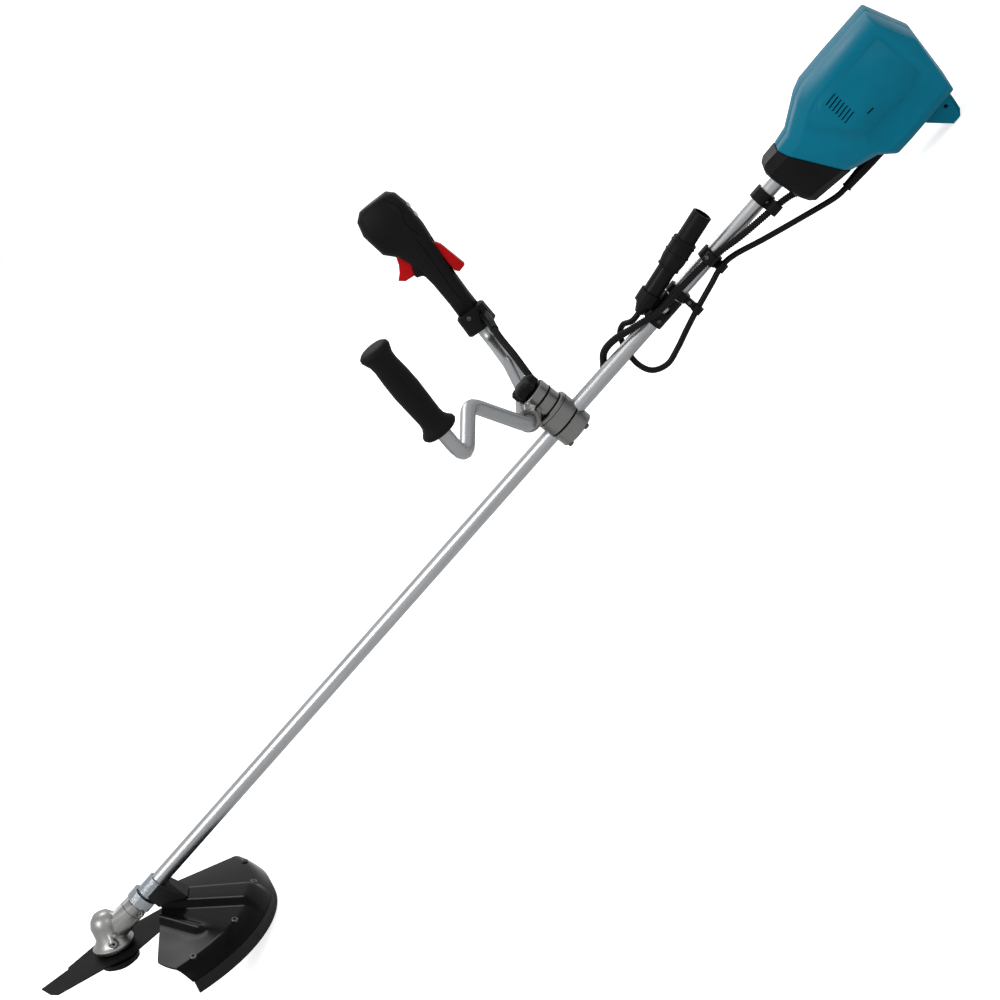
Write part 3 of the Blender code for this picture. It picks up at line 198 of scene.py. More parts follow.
def curve_along(name, line, radius, sides_step):
    """A bevelled curve with filled ends along row-frame points."""
    curve = bpy.data.curves.new(name, "CURVE")
    curve.dimensions = "3D"
    curve.bevel_depth = radius
    curve.bevel_resolution = sides_step
    curve.use_fill_caps = True
    spline = curve.splines.new("POLY")
    spline.points.add(len(line) - 1)
    for dot, p in zip(spline.points, line):
        dot.co = (*p, 1)
    spline.use_smooth = True
    return placed(curve, name)


lead_route = ((521.8, 0, -83), (500, -1, -80), (450, -6, -62), (391, -10, -40), (348, -10.5, -23.5),
              (322, -10, -20.5), (292, -9.5, -27), (252, -8, -36), (217, -3, -46), (188, 1, -55),
              (160, 3, -60), (138, 6, -50), (130, 14, -30), (134, 22, -4), (146, 20, 18), (162, 10, 27),
              (176, -2, 23.8), (190.4, -6.9, 24.5), (221.8, -8.5, 29.6))
lead_radius = 0.0045
lead_line = smooth_line(lead_route, step=4)
lead = curve_along("power_lead", lead_line, lead_radius, sides_step=6)
lead.data.materials.append(lead_rubber)
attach(lead, "machine")
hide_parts("power_cord")


# The control cable runs in a corrugated black sleeve. It comes out of the nose, is held to the
# pipe, crosses over it and goes up behind the bracket; a second length goes on to the right grip.
def ribbed_tree():
    """Geometry Nodes that sweep a circle along a curve, with a rib at every pitch."""
    tree = bpy.data.node_groups.new("ribbed sleeve", "GeometryNodeTree")
    face = tree.interface
    face.new_socket("Geometry", in_out="INPUT", socket_type="NodeSocketGeometry")
    for label, value in (("Radius", 0.0051), ("Rib Height", 0.0005), ("Pitch", 0.0036)):
        face.new_socket(label, in_out="INPUT", socket_type="NodeSocketFloat").default_value = value
    face.new_socket("Material", in_out="INPUT", socket_type="NodeSocketMaterial")
    face.new_socket("Geometry", in_out="OUTPUT", socket_type="NodeSocketGeometry")
    source = tree.nodes.new("NodeGroupInput")
    fine = tree.nodes.new("GeometryNodeResampleCurve")
    fine.mode = "LENGTH"
    fine.inputs["Length"].default_value = 0.0006
    tree.links.new(source.outputs["Geometry"], fine.inputs["Curve"])
    along_line = tree.nodes.new("GeometryNodeSplineParameter")
    pitches = tree.nodes.new("ShaderNodeMath")
    pitches.operation = "DIVIDE"
    tree.links.new(along_line.outputs["Length"], pitches.inputs[0])
    tree.links.new(source.outputs["Pitch"], pitches.inputs[1])
    angle = tree.nodes.new("ShaderNodeMath")
    angle.operation = "MULTIPLY"
    angle.inputs[1].default_value = 2 * math.pi
    tree.links.new(pitches.outputs[0], angle.inputs[0])
    wave = tree.nodes.new("ShaderNodeMath")
    wave.operation = "SINE"
    tree.links.new(angle.outputs[0], wave.inputs[0])
    squared = tree.nodes.new("ShaderNodeMapRange")
    squared.interpolation_type = "SMOOTHSTEP"
    squared.inputs["From Min"].default_value = -0.55
    squared.inputs["From Max"].default_value = 0.55
    squared.inputs["To Min"].default_value = -1.0
    squared.inputs["To Max"].default_value = 1.0
    tree.links.new(wave.outputs[0], squared.inputs["Value"])
    swell = tree.nodes.new("ShaderNodeMath")
    swell.operation = "MULTIPLY_ADD"
    tree.links.new(squared.outputs["Result"], swell.inputs[0])
    tree.links.new(source.outputs["Rib Height"], swell.inputs[1])
    tree.links.new(source.outputs["Radius"], swell.inputs[2])
    ring = tree.nodes.new("GeometryNodeCurvePrimitiveCircle")
    ring.inputs["Resolution"].default_value = 20
    ring.inputs["Radius"].default_value = 1.0
    sweep = tree.nodes.new("GeometryNodeCurveToMesh")
    sweep.inputs["Fill Caps"].default_value = True
    tree.links.new(fine.outputs["Curve"], sweep.inputs["Curve"])
    tree.links.new(ring.outputs["Curve"], sweep.inputs["Profile Curve"])
    tree.links.new(swell.outputs[0], sweep.inputs["Scale"])
    whole = tree.nodes.new("GeometryNodeRealizeInstances")
    coat = tree.nodes.new("GeometryNodeSetMaterial")
    sink = tree.nodes.new("NodeGroupOutput")
    tree.links.new(sweep.outputs["Mesh"], whole.inputs["Geometry"])
    tree.links.new(whole.outputs["Geometry"], coat.inputs["Geometry"])
    tree.links.new(source.outputs["Material"], coat.inputs["Material"])
    tree.links.new(coat.outputs["Geometry"], sink.inputs["Geometry"])
    return tree


def set_input(modifier, label, value):
    """Sets a tree's input through its socket's identifier."""
    for item in modifier.node_group.interface.items_tree:
        if item.item_type == "SOCKET" and item.in_out == "INPUT" and item.name == label:
            modifier[item.identifier] = value


def made_mesh(source, name):
    """The evaluated source as a plain mesh piece, with the source removed."""
    graph = bpy.context.evaluated_depsgraph_get()
    mesh = bpy.data.meshes.new_from_object(source.evaluated_get(graph))
    bpy.data.objects.remove(source)
    mesh.name = name
    mesh.shade_smooth()
    return placed(mesh, name)


sleeve_tree = ribbed_tree()
sleeve_rubber = rubber_finish("sleeve_rubber", (0.006, 0.006, 0.0065), (0.010, 0.010, 0.0105), 600)


def ribbed_sleeve(name, line):
    """A ribbed tube along row-frame points, as a plain mesh piece."""
    source = curve_along(name + "_line", line, radius=0.0, sides_step=0)
    ribs = source.modifiers.new("ribs", "NODES")
    ribs.node_group = sleeve_tree
    set_input(ribs, "Material", sleeve_rubber)
    return made_mesh(source, name)


sleeve_route = ((474, -4, -34), (462, -9, -27), (436, -15, -20), (376, -20, -10), (322, -21, 2),
                (268, -22, 6), (220, -24, 8), (176, -18, 18), (140, -4, 25), (112, 14, 20), (90, 24, 2),
                (60, 34, -14), (30, 41, -14), (8, 43, 0), (2, 44, 17), (2, 44, 25))
handle_route = ((2, 44, 26.2), (2, 44, 33), (3, 47, 50), (6, 60, 74), (6, 100, 100), (0, 160, 122),
                (-2, 205, 136), (-4, 228, 142), (-6, 240, 146))
for name, route, body, node in (("control_sleeve_lower", sleeve_route, "machine", "control_sleeve"),
                                ("control_sleeve_upper", handle_route, "handle", "handle_cable")):
    line = smooth_line(route, step=3)
    sleeve = ribbed_sleeve(name, line)
    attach(sleeve, body)
    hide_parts(node)


# The motor housing is two teal mouldings in a fine satin grain, screwed together from the right.
# The nose in front of it is a black moulding that takes the pipe and the control sleeve.
broad_grain = 22


def moulded(name, dark, light, low, high, scale, depth, shine):
    """A plastic with a fine moulded grain and broad, faint changes of shade and roughness."""
    mat, tree, shader = finish(name, dark, low)
    shader.inputs["Specular IOR Level"].default_value = shine
    fine = grain(tree, scale, 6)
    broad = grain(tree, broad_grain, 3)
    tint(tree, shader, broad, dark, light)
    spread(tree, shader, broad, low, high)
    relief(tree, shader, fine, 0.3, depth)
    return mat


def settle(piece, mat, body):
    """Gives a piece its finish and the body that it rides on."""
    piece.data.materials.clear()
    piece.data.materials.append(mat)
    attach(piece, body)
    return piece


bodies = frame["record"]["behaviour"]["bodies"]
body_of = {node: body for body, nodes in bodies.items() for node in nodes}
weld_distance = 0.000002
crease_angle = math.radians(24)


def finished(mat, slot, *nodes):
    """Pieces in the CAD nodes' exact form, with their curves shaded smooth."""
    pieces = []
    for node in nodes:
        mesh = frame["nodes"][node].data.copy()
        form = bmesh.new()
        form.from_mesh(mesh)
        bmesh.ops.remove_doubles(form, verts=form.verts, dist=weld_distance)
        form.to_mesh(mesh)
        form.free()
        mesh.shade_smooth()
        mesh.set_sharp_from_angle(angle=crease_angle)
        piece = settle(placed(mesh, node + "_skin"), mat, body_of[node])
        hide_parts(node)
        pieces.append(piece)
    return pieces


teal_shell = moulded("teal_shell", (0.0, 0.138, 0.218), (0.0, 0.150, 0.236), 0.36, 0.46, 1500,
                     0.00012, 0.08)
finished(teal_shell, "teal", "housing_left", "housing_right")
black_shell = moulded("black_shell", (0.0035, 0.0035, 0.0038), (0.0055, 0.0055, 0.0058), 0.42, 0.55,
                      1300, 0.0002, 0.08)
finished(black_shell, "black", "nose")
# shadow_black paints shade: near-black beads laid over slits and seams stand in for the shade inside
# them.
shadow_black = moulded("shadow_black", (0.001, 0.001, 0.001), (0.002, 0.002, 0.002), 0.8, 0.9, 900,
                       0.0001, 0.05)


def land(target, start, way):
    """Where a straight line in the row frame meets a piece, and the surface's normal there."""
    mesh = target.data
    tree = BVHTree.FromPolygons([v.co for v in mesh.vertices], [face.vertices for face in mesh.polygons])
    place, normal, _, _ = tree.ray_cast(start, way)
    if place is None:
        raise ValueError(f"the line from {tuple(start)} misses {target.name}")
    return place, normal


def laid(name, target, route, way, radius, sink, mat, body):
    """A round bead along a piece's surface, sunk into it by a share of its radius."""
    line = []
    for start in smooth_line(route, step=3):
        place, normal = land(target, start, toward(*way))
        line.append(place - normal * radius * sink)
    return settle(curve_along(name, line, radius, sides_step=3), mat, body)


from_left = (0, 1, 0)
left_half = frame["nodes"]["housing_left"]
# A near-black bead laid on the left half paints the shade in the housing's slit.
slit_shade_route = ((629, -90, -17.3), (640, -90, -18))
slit_shade_radius = 0.0012
slit_shade_sink = 0.4
laid("housing_slit", left_half, slit_shade_route, from_left, slit_shade_radius, slit_shade_sink, shadow_black, "machine")


# Cap screws are black-oxide steel with a hexagon socket. Six of them go in from the right and draw
# the two halves of the housing together.
def turns(count):
    """Equal steps round a circle."""
    return [step * 2 * math.pi / count for step in range(count)]


def add_rings(form, rings, looped=False):
    """Faces between rings of points, with end caps, or with the last ring joined to the first."""
    loops = [[form.verts.new(point) for point in ring] for ring in rings]
    nexts = loops[1:] + loops[:1] if looped else loops[1:]
    count = len(loops[0])
    for low, high in zip(loops, nexts):
        for i in range(count):
            j = (i + 1) % count
            form.faces.new((low[i], low[j], high[j], high[i]))
    if not looped:
        form.faces.new(loops[0][::-1])
        form.faces.new(loops[-1])
    bmesh.ops.recalc_face_normals(form, faces=form.faces)
    return loops


def form_mesh(form, name):
    """A form's mesh; the form is done with."""
    mesh = bpy.data.meshes.new(name)
    form.to_mesh(mesh)
    form.free()
    return mesh


head_sides = 24
socket_sides = 6
head_profile = ((4.2, -1.2, head_sides), (4.2, 1.7, head_sides), (3.5, 2.5, head_sides),
                (2.3, 2.5, socket_sides), (2.2, 0.9, socket_sides))


def socket_head():
    """A pan-head screw of 8.4 mm across with a hexagon socket, standing on the origin."""
    rings = []
    for radius, height, sides in head_profile:
        ring = []
        for turn in turns(head_sides):
            off = turn % (2 * math.pi / sides) - math.pi / sides
            reach = radius * math.cos(math.pi / sides) / math.cos(off)
            ring.append(Vector((reach * math.cos(turn), reach * math.sin(turn), height)) * mm)
        rings.append(ring)
    form = bmesh.new()
    add_rings(form, rings)
    return form_mesh(form, "socket_head")


def screw_tree():
    """Geometry Nodes that set a screw on each point, turned to the point's aim and to its size."""
    tree = bpy.data.node_groups.new("screws on points", "GeometryNodeTree")
    face = tree.interface
    face.new_socket("Geometry", in_out="INPUT", socket_type="NodeSocketGeometry")
    face.new_socket("Screw", in_out="INPUT", socket_type="NodeSocketObject")
    face.new_socket("Material", in_out="INPUT", socket_type="NodeSocketMaterial")
    face.new_socket("Geometry", in_out="OUTPUT", socket_type="NodeSocketGeometry")
    source = tree.nodes.new("NodeGroupInput")
    master = tree.nodes.new("GeometryNodeObjectInfo")
    aim = tree.nodes.new("GeometryNodeInputNamedAttribute")
    aim.data_type = "FLOAT_VECTOR"
    aim.inputs["Name"].default_value = "aim"
    size = tree.nodes.new("GeometryNodeInputNamedAttribute")
    size.data_type = "FLOAT"
    size.inputs["Name"].default_value = "size"
    turn = tree.nodes.new("FunctionNodeAlignRotationToVector")
    turn.axis = "Z"
    spots = tree.nodes.new("GeometryNodeInstanceOnPoints")
    whole = tree.nodes.new("GeometryNodeRealizeInstances")
    coat = tree.nodes.new("GeometryNodeSetMaterial")
    sink = tree.nodes.new("NodeGroupOutput")
    tree.links.new(source.outputs["Screw"], master.inputs["Object"])
    tree.links.new(source.outputs["Geometry"], spots.inputs["Points"])
    tree.links.new(master.outputs["Geometry"], spots.inputs["Instance"])
    tree.links.new(aim.outputs["Attribute"], turn.inputs["Vector"])
    tree.links.new(turn.outputs["Rotation"], spots.inputs["Rotation"])
    tree.links.new(size.outputs["Attribute"], spots.inputs["Scale"])
    tree.links.new(spots.outputs["Instances"], whole.inputs["Geometry"])
    tree.links.new(whole.outputs["Geometry"], coat.inputs["Geometry"])
    tree.links.new(source.outputs["Material"], coat.inputs["Material"])
    tree.links.new(coat.outputs["Geometry"], sink.inputs["Geometry"])
    return tree


screws_on_points = screw_tree()
screw_crease = math.radians(35)


def screws(name, mat, body, spots):
    """Screws square on surfaces; a spot is a piece, a start on the machine, a way and a size."""
    hits = [land(target, at(*start), toward(*way)) for target, start, way, _ in spots]
    mesh = bpy.data.meshes.new(name + "_spots")
    mesh.from_pydata([place for place, _ in hits], [], [])
    aims = mesh.attributes.new("aim", "FLOAT_VECTOR", "POINT")
    aims.data.foreach_set("vector", [part for _, normal in hits for part in normal])
    sizes = mesh.attributes.new("size", "FLOAT", "POINT")
    sizes.data.foreach_set("value", [size for _, _, _, size in spots])
    master = placed(socket_head(), "screw_master")
    source = placed(mesh, name + "_source")
    setter = source.modifiers.new("screws", "NODES")
    setter.node_group = screws_on_points
    set_input(setter, "Screw", master)
    set_input(setter, "Material", mat)
    piece = made_mesh(source, name)
    piece.data.set_sharp_from_angle(angle=screw_crease)
    bpy.data.objects.remove(master)
    return settle(piece, mat, body)


def metal(name, dark, light, low, high, scale, depth, stretch=(1, 1, 1)):
    """A metal with a fine grain, which may be stretched, between two shades and two roughnesses."""
    mat, tree, shader = finish(name, dark, low, 1.0)
    fine = grain(tree, scale, 5, stretch)
    tint(tree, shader, fine, dark, light)
    spread(tree, shader, fine, low, high)
    relief(tree, shader, fine, 0.15, depth)
    return mat


oxide = metal("black_oxide", (0.05, 0.05, 0.055), (0.09, 0.09, 0.095), 0.3, 0.42, 900, 0.00005)
from_right = (0, -1, 0)
right_half = frame["nodes"]["housing_right"]
right_start = 120
housing_spots = ((536, 34), (548, -30), (600, 52), (690, 48), (710, -30), (640, -74))
screws("housing_screws", oxide, "machine",
       [(right_half, (x, right_start, z), from_right, 1.0) for x, z in housing_spots])


# The pipe and handlebar are aluminium tube with a satin anodised skin, the pipe's faintly streaked
# along its length. The handle bracket is four turned castings on one knob bolt; near-black beads paint
# the shade in the seams where they meet, and four screws close its lower half round the pipe.
along_pipe = (0.05, 1, 1)
drawn_tube = metal("drawn_tube", (0.30, 0.31, 0.32), (0.37, 0.38, 0.39), 0.3, 0.38, 260, 0.00008,
                   along_pipe)
finished(drawn_tube, "silver", "main_pipe")
bent_tube = metal("bent_tube", (0.27, 0.28, 0.29), (0.31, 0.32, 0.33), 0.34, 0.40, 700, 0.00004)
finished(bent_tube, "silver", "handlebar")
turned = metal("turned_casting", (0.145, 0.145, 0.142), (0.19, 0.19, 0.185), 0.26, 0.36, 900, 0.0001)
finished(turned, "cast", "bracket_lower", "bracket_base", "handle_holder", "handle_cap")
bead_sides = 64


def ring_beads(name, foot, way, beads, mat, body):
    """Round beads about an axis; a bead is a place along it, a radius and half a thickness in mm."""
    curve = bpy.data.curves.new(name, "CURVE")
    curve.dimensions = "3D"
    curve.bevel_depth = mm
    curve.bevel_resolution = 3
    lean = Vector(way).to_track_quat("Z", "Y")
    for along, radius, thick in beads:
        spline = curve.splines.new("POLY")
        spline.points.add(bead_sides - 1)
        spline.use_cyclic_u = True
        spline.use_smooth = True
        for turn, dot in zip(turns(bead_sides), spline.points):
            spot = Vector((radius * math.cos(turn), radius * math.sin(turn), along))
            dot.co = (*at(*(Vector(foot) + lean @ spot)), 1)
            dot.radius = thick
    return settle(placed(curve, name), mat, body)


bracket_foot = (0, 0, 0)
upward = (0, 0, 1)
# Near-black beads round the bracket and holder paint the shade in the seams between the castings.
handle_shade_beads = ((50.0, 25.0, 0.9), (31.0, 25.0, 0.6))
ring_beads("handle_seams", bracket_foot, upward, handle_shade_beads, shadow_black, "handle")
bracket_shade_beads = ((24.0, 30.35, 0.5), (0.0, 29.4, 1.0))
ring_beads("bracket_seams", bracket_foot, upward, bracket_shade_beads, shadow_black, "machine")
clamp = frame["nodes"]["bracket_lower"]
clamp_start = -60
screws("bracket_screws", oxide, "machine",
       [(clamp, (x, y, clamp_start), upward, 1.1) for x in (-17, 17) for y in (-19, 19)])
finished(black_shell, "black", "knob")


# The right grip is a two-piece black moulding round the bar, with a sprung red trigger below it, a
# red lock-off lever on top and two push buttons. A screw draws its collar tight, and a tapered boot
# leads the handle's cable into its foot.
grip_foot = Vector((-25, 250, 132))
grip_frame = Matrix(((-0.97965, 0.20071, 0.0),
                     (0.02141, 0.10451, 0.99429),
                     (0.19957, 0.97406, -0.10668)))
key_ease = 0.0012
key_crease = math.radians(40)


def on_grip(ahead, along, aside):
    """A point by millimetres ahead of the grip's axis, along it and to its right, in the row frame."""
    return at(*(grip_foot + grip_frame @ Vector((ahead, along, aside))))


def plate(name, outline, low, high):
    """A flat piece on the grip from an outline, with its edges eased."""
    form = bmesh.new()
    sides = [[on_grip(ahead, along, aside) for ahead, along in outline] for aside in (low, high)]
    foot, _ = add_rings(form, sides)
    rims = [edge for edge in form.edges if len({v in foot for v in edge.verts}) == 1]
    bmesh.ops.bevel(form, geom=rims, offset=key_ease, segments=3, profile=0.5, affect="EDGES",
                    clamp_overlap=True)
    mesh = form_mesh(form, name)
    mesh.shade_smooth()
    mesh.set_sharp_from_angle(angle=key_crease)
    return placed(mesh, name)


finished(black_shell, "black", "right_grip", "grip_collar")
red_key = moulded("red_key", (0.36, 0.001, 0.002), (0.42, 0.002, 0.003), 0.3, 0.4, 1200, 0.0001, 0.1)
trigger_outline = ((35.5, 177), (36, 166), (40, 155), (47, 144.5), (56, 136), (47.6, 129),
                   (31.1, 127.4), (25.1, 141.4), (21, 154), (20, 166), (26, 175))
trigger = settle(plate("trigger_key", trigger_outline, -6.5, 6.5), red_key, "trigger")
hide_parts("trigger")
lock_outline = ((-17.5, 155), (-26, 148), (-30, 141), (-40, 97), (-38.5, 93.5), (-27, 90.5),
                (-21.5, 97), (-21, 130), (-17, 146))
lock = settle(plate("lock_key", lock_outline, -5.5, 5.5), red_key, "lock_lever")
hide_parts("lock_lever")
cheek_outline = ((14, 172), (20.5, 168), (22, 154), (24.5, 141), (30.5, 127), (29.3, 123), (21, 120),
                 (15, 112), (6, 112), (6, 166))
for name, low, high in (("trigger_cheek_left", -11.0, -7.2), ("trigger_cheek_right", 7.2, 11.0)):
    settle(plate(name, cheek_outline, low, high), black_shell, "handle")
boot_points = 21
boot_radius = 0.0085
boot_rim_points = 3
boot_rim, boot_thin, boot_taper = 0.78, 0.7, 0.3
boot_line = smooth_line(handle_route, step=3)[-boot_points:]
cable_boot = curve_along("cable_boot", boot_line, boot_radius, sides_step=5)
for step, dot in enumerate(cable_boot.data.splines[0].points):
    dot.radius = boot_rim if step < boot_rim_points else boot_thin + boot_taper * step / boot_points
settle(cable_boot, black_shell, "handle")
right_grip = frame["nodes"]["right_grip"]
# Near-black beads along the grip's parting line and round its panel paint the shade in those seams.
seam_shade_radius = 0.0005
seam_shade_sink = 0.1
grip_seam = ((19, 225, 303), (12, 225, 274), (3, 220, 241), (-6, 220, 208), (-9, 220, 189))
panel_seam = ((33, 225, 376), (38, 225, 346), (27, 225, 329), (26, 225, 300))
for name, route in (("grip_seam", grip_seam), ("panel_seam", panel_seam)):
    laid(name, right_grip, route, from_left, seam_shade_radius, seam_shade_sink, shadow_black, "handle")
collar = frame["nodes"]["grip_collar"]
collar_spot = (-23.6, 210, 160.7)
screws("collar_screw", oxide, "handle", [(collar, collar_spot, from_left, 0.9)])
pale_key = moulded("pale_key", (0.45, 0.48, 0.5), (0.52, 0.54, 0.56), 0.34, 0.42, 1200, 0.0001, 0.4)
finished(pale_key, "pale", "power_button", "speed_button")


# The left grip is a soft rubber sleeve pushed on the bar, oval, thicker in the middle, with a flange
# below and a rounded knob end, and a parting bead along its face.
grip_rubber = rubber_finish("grip_rubber", (0.0030, 0.0030, 0.0033), (0.0050, 0.0050, 0.0053), 1100)
left_foot = Vector((-63, -250, 180))
left_way = Vector((0.225, -0.128, 0.966)).normalized()
left_face = Vector((0.25, -0.941752, 0.224951))
left_wide = left_way.cross(left_face).normalized()
left_deep = left_way.cross(left_wide)
left_sides = 40
left_stations = ((0, 19, 17), (1.5, 25, 21), (5, 27.5, 23), (9, 27, 22.5), (14, 22.5, 20),
                 (20, 19.3, 18.4), (28, 18.4, 18), (50, 19.4, 18.6), (80, 20.8, 19.2),
                 (105, 20.2, 18.8), (128, 18.6, 18.2), (138, 19.4, 18.6), (145, 22, 19.6),
                 (151, 24.2, 20.6), (155, 23.6, 20), (158, 20, 17), (159.3, 12, 10))


def on_left(height, aside, inward):
    """A point on the machine by millimetres up the left grip, to its side and away from its face."""
    return left_foot + left_way * height + left_wide * aside + left_deep * inward


left_rings = [[at(*on_left(height, wide * math.cos(turn), deep * math.sin(turn)))
               for turn in turns(left_sides)] for height, wide, deep in left_stations]
left_form = bmesh.new()
add_rings(left_form, left_rings)
left_mesh = form_mesh(left_form, "left_grip_sleeve")
left_mesh.shade_smooth()
left_sleeve = settle(placed(left_mesh, "left_grip_sleeve"), grip_rubber, "handle")
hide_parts("left_grip")
bead_start = -60
bead_radius = 0.0007
bead_sink = 0.3
bead_route = [on_left(height, aside, bead_start)
              for height, aside in ((128, 9), (124, 5), (100, 3), (70, 4), (46, 7), (36, 12))]
laid("left_grip_bead", left_sleeve, bead_route, left_deep, bead_radius, bead_sink, grip_rubber, "handle")


# The gear case is a bead-blasted casting clamped to the pipe's end by a zinc collar. Small lugs with
# holes stand on its flange and neck, and near-black beads round both paint the shade in their fine
# seams. Below it the painted blade is held by washers, a nut and a glide cup.
blasted = metal("blasted_casting", (0.21, 0.21, 0.206), (0.28, 0.28, 0.272), 0.32, 0.44, 900, 0.0002)
finished(blasted, "cast", "gear_case")
plated = metal("zinc_plate", (0.22, 0.245, 0.27), (0.32, 0.345, 0.37), 0.16, 0.26, 400, 0.00006)
finished(plated, "zinc", "clamp_collar", "guard_band", "receiver_washer", "clamp_washer", "spindle_nut")
blade_paint = moulded("blade_paint", (0.0045, 0.0045, 0.0049), (0.0065, 0.0065, 0.0069), 0.4, 0.52,
                      900, 0.0001, 0.03)
finished(blade_paint, "blade_black", "blade")
finished(black_shell, "black", "glide_cup")
lug_spots = (((-1071.4, -20.5, -1.3), (0.5, -0.8, 0.2)), ((-1016, -17.5, -10.0), (0.1, -0.9, -0.5)))
lug_section = ((2.0, -2.2), (4.6, -2.2), (4.6, 2.2), (2.0, 2.2))
lug_stand = 2.0
lug_sides = 20
lug_form = bmesh.new()
for spot, way in lug_spots:
    out = toward(*way)
    across = pipe_way.cross(out).normalized()
    tall = across.cross(out)
    lug_rings = []
    for radius, depth in lug_section:
        ring = []
        for turn in turns(lug_sides):
            shift = out * (lug_stand + radius * math.cos(turn)) + tall * radius * math.sin(turn)
            ring.append(at(*spot) + (shift + across * depth) * mm)
        lug_rings.append(ring)
    add_rings(lug_form, lug_rings, looped=True)
lug_mesh = form_mesh(lug_form, "gear_case_lugs")
settle(placed(lug_mesh, "gear_case_lugs"), blasted, "machine")
head_centre = (-1083, 0, 0)
spindle_way = (0.5, 0, 0.866)
# Near-black beads round the flange and the neck paint the shade in their seams.
flange_shade_beads = ((-16.0, 33.9, 0.45), (-10.6, 29.6, 0.35))
ring_beads("flange_seam", head_centre, spindle_way, flange_shade_beads, shadow_black, "machine")
pipe_line = (1, 0, 0)
neck_foot = (-1028, 0, 0)
ring_beads("neck_seam", neck_foot, pipe_line, ((0.0, 18.85, 0.4),), shadow_black, "machine")


# The guard is a polished black moulding of even wall over the rear of the cutting circle. A raised
# panel runs back from its bracket between two creases, with a short rib on the left. A matt skirt is
# screwed to its rim, and a block and a zinc band hold it to the pipe.
gloss_shell = moulded("gloss_shell", (0.0030, 0.0030, 0.0034), (0.0042, 0.0042, 0.0047), 0.12, 0.18,
                      700, 0.00003, 0.035)
skirt_shell = moulded("skirt_shell", (0.007, 0.007, 0.0076), (0.010, 0.010, 0.0106), 0.45, 0.6, 1300,
                      0.0002, 0.12)
finished(skirt_shell, "black", "guard_skirt", "guard_bracket")
guard_reach = 257.0
guard_front = 97.0
guard_inner = 92.0
guard_right = -33.0
guard_left = 60.5
guard_wall = 0.003
guard_columns = 96
guard_rows = 48
corner_reach = 185.0
corner_turn = 5.0
lip_start = 0.86
lip_fall = 24.0
top_height = 47.0
top_fall = 21.0
panel_height = 8.0
panel_crease = 2.2
rib_height = 6.0
rib_width = 9.0
rib_end = 0.66
rib_fade = 0.02
head_foot = Vector((-1095.25, 0, -21.22))
head_frame = Matrix(((-0.866, 0, 0.5), (0, -1, 0), (0.5, 0, 0.866)))


def on_head(radius, turn, height):
    """A point on the machine by millimetres from the spindle, a turn from straight behind it to the
    left, and millimetres over the blade."""
    return head_foot + head_frame @ Vector((-radius * math.cos(turn), radius * math.sin(turn), height))


def soft_step(value, width):
    """Zero well below a value of nought, one well above it."""
    return 1 / (1 + math.exp(-value / width))


def guard_height(radius, across):
    """Height of the guard's top over the blade: a slope and a lip, with the raised panel and the rib."""
    run = (radius - guard_inner) / (guard_reach - guard_inner)
    lip = min(max(0.0, (run - lip_start) / (1 - lip_start)), 1.0)
    slope = top_height - top_fall * min(run / lip_start, 1.0)
    fall = lip_fall * (1 - math.cos(lip * math.pi / 2))
    past_right = across + 38 - 42 * run
    past_left = across - 15 - 48 * run
    panel = soft_step(past_right, panel_crease) - soft_step(past_left, panel_crease)
    past_rib = across - 40 - 112 * run
    rib = math.exp(-(past_rib / rib_width) ** 2) * soft_step(rib_end - run, rib_fade)
    return slope - fall + (panel_height * panel + rib_height * rib) * (1 - lip)


guard_form = bmesh.new()
guard_lines = []
for i in range(guard_columns + 1):
    share = i / guard_columns
    degrees = guard_right + (guard_left - guard_right) * share
    front = guard_front / math.cos(math.radians(degrees))
    inner = guard_inner if degrees < 0 else max(guard_inner, front)
    line = []
    for j in range(guard_rows + 1):
        radius = inner + (guard_reach - inner) * j / guard_rows
        past = max(0.0, (radius - corner_reach) / (guard_reach - corner_reach))
        limit = guard_left - corner_turn * past ** 2
        bent = math.radians(guard_right + (limit - guard_right) * share)
        height = guard_height(radius, radius * math.sin(bent))
        line.append(guard_form.verts.new(at(*on_head(radius, bent, height))))
    guard_lines.append(line)
for low, high in zip(guard_lines, guard_lines[1:]):
    for j in range(guard_rows):
        guard_form.faces.new((low[j], low[j + 1], high[j + 1], high[j]))
bmesh.ops.recalc_face_normals(guard_form, faces=guard_form.faces)
guard_source = placed(form_mesh(guard_form, "guard_cover"), "guard_source")
thick = guard_source.modifiers.new("wall", "SOLIDIFY")
thick.thickness = guard_wall
thick.offset = 0.0
guard_cover = settle(made_mesh(guard_source, "guard_cover"), gloss_shell, "machine")
guard_crease = math.radians(50)
guard_cover.data.set_sharp_from_angle(angle=guard_crease)
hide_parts("guard")
blade_down = head_frame @ Vector((0, 0, -1))
rim_radius = 238
rim_start = 120
rim_spots = [(guard_cover, on_head(rim_radius, math.radians(degrees), rim_start), blade_down, 1.3)
             for degrees in (-24, -2, 26, 50)]
screws("guard_screws", oxide, "machine", rim_spots)


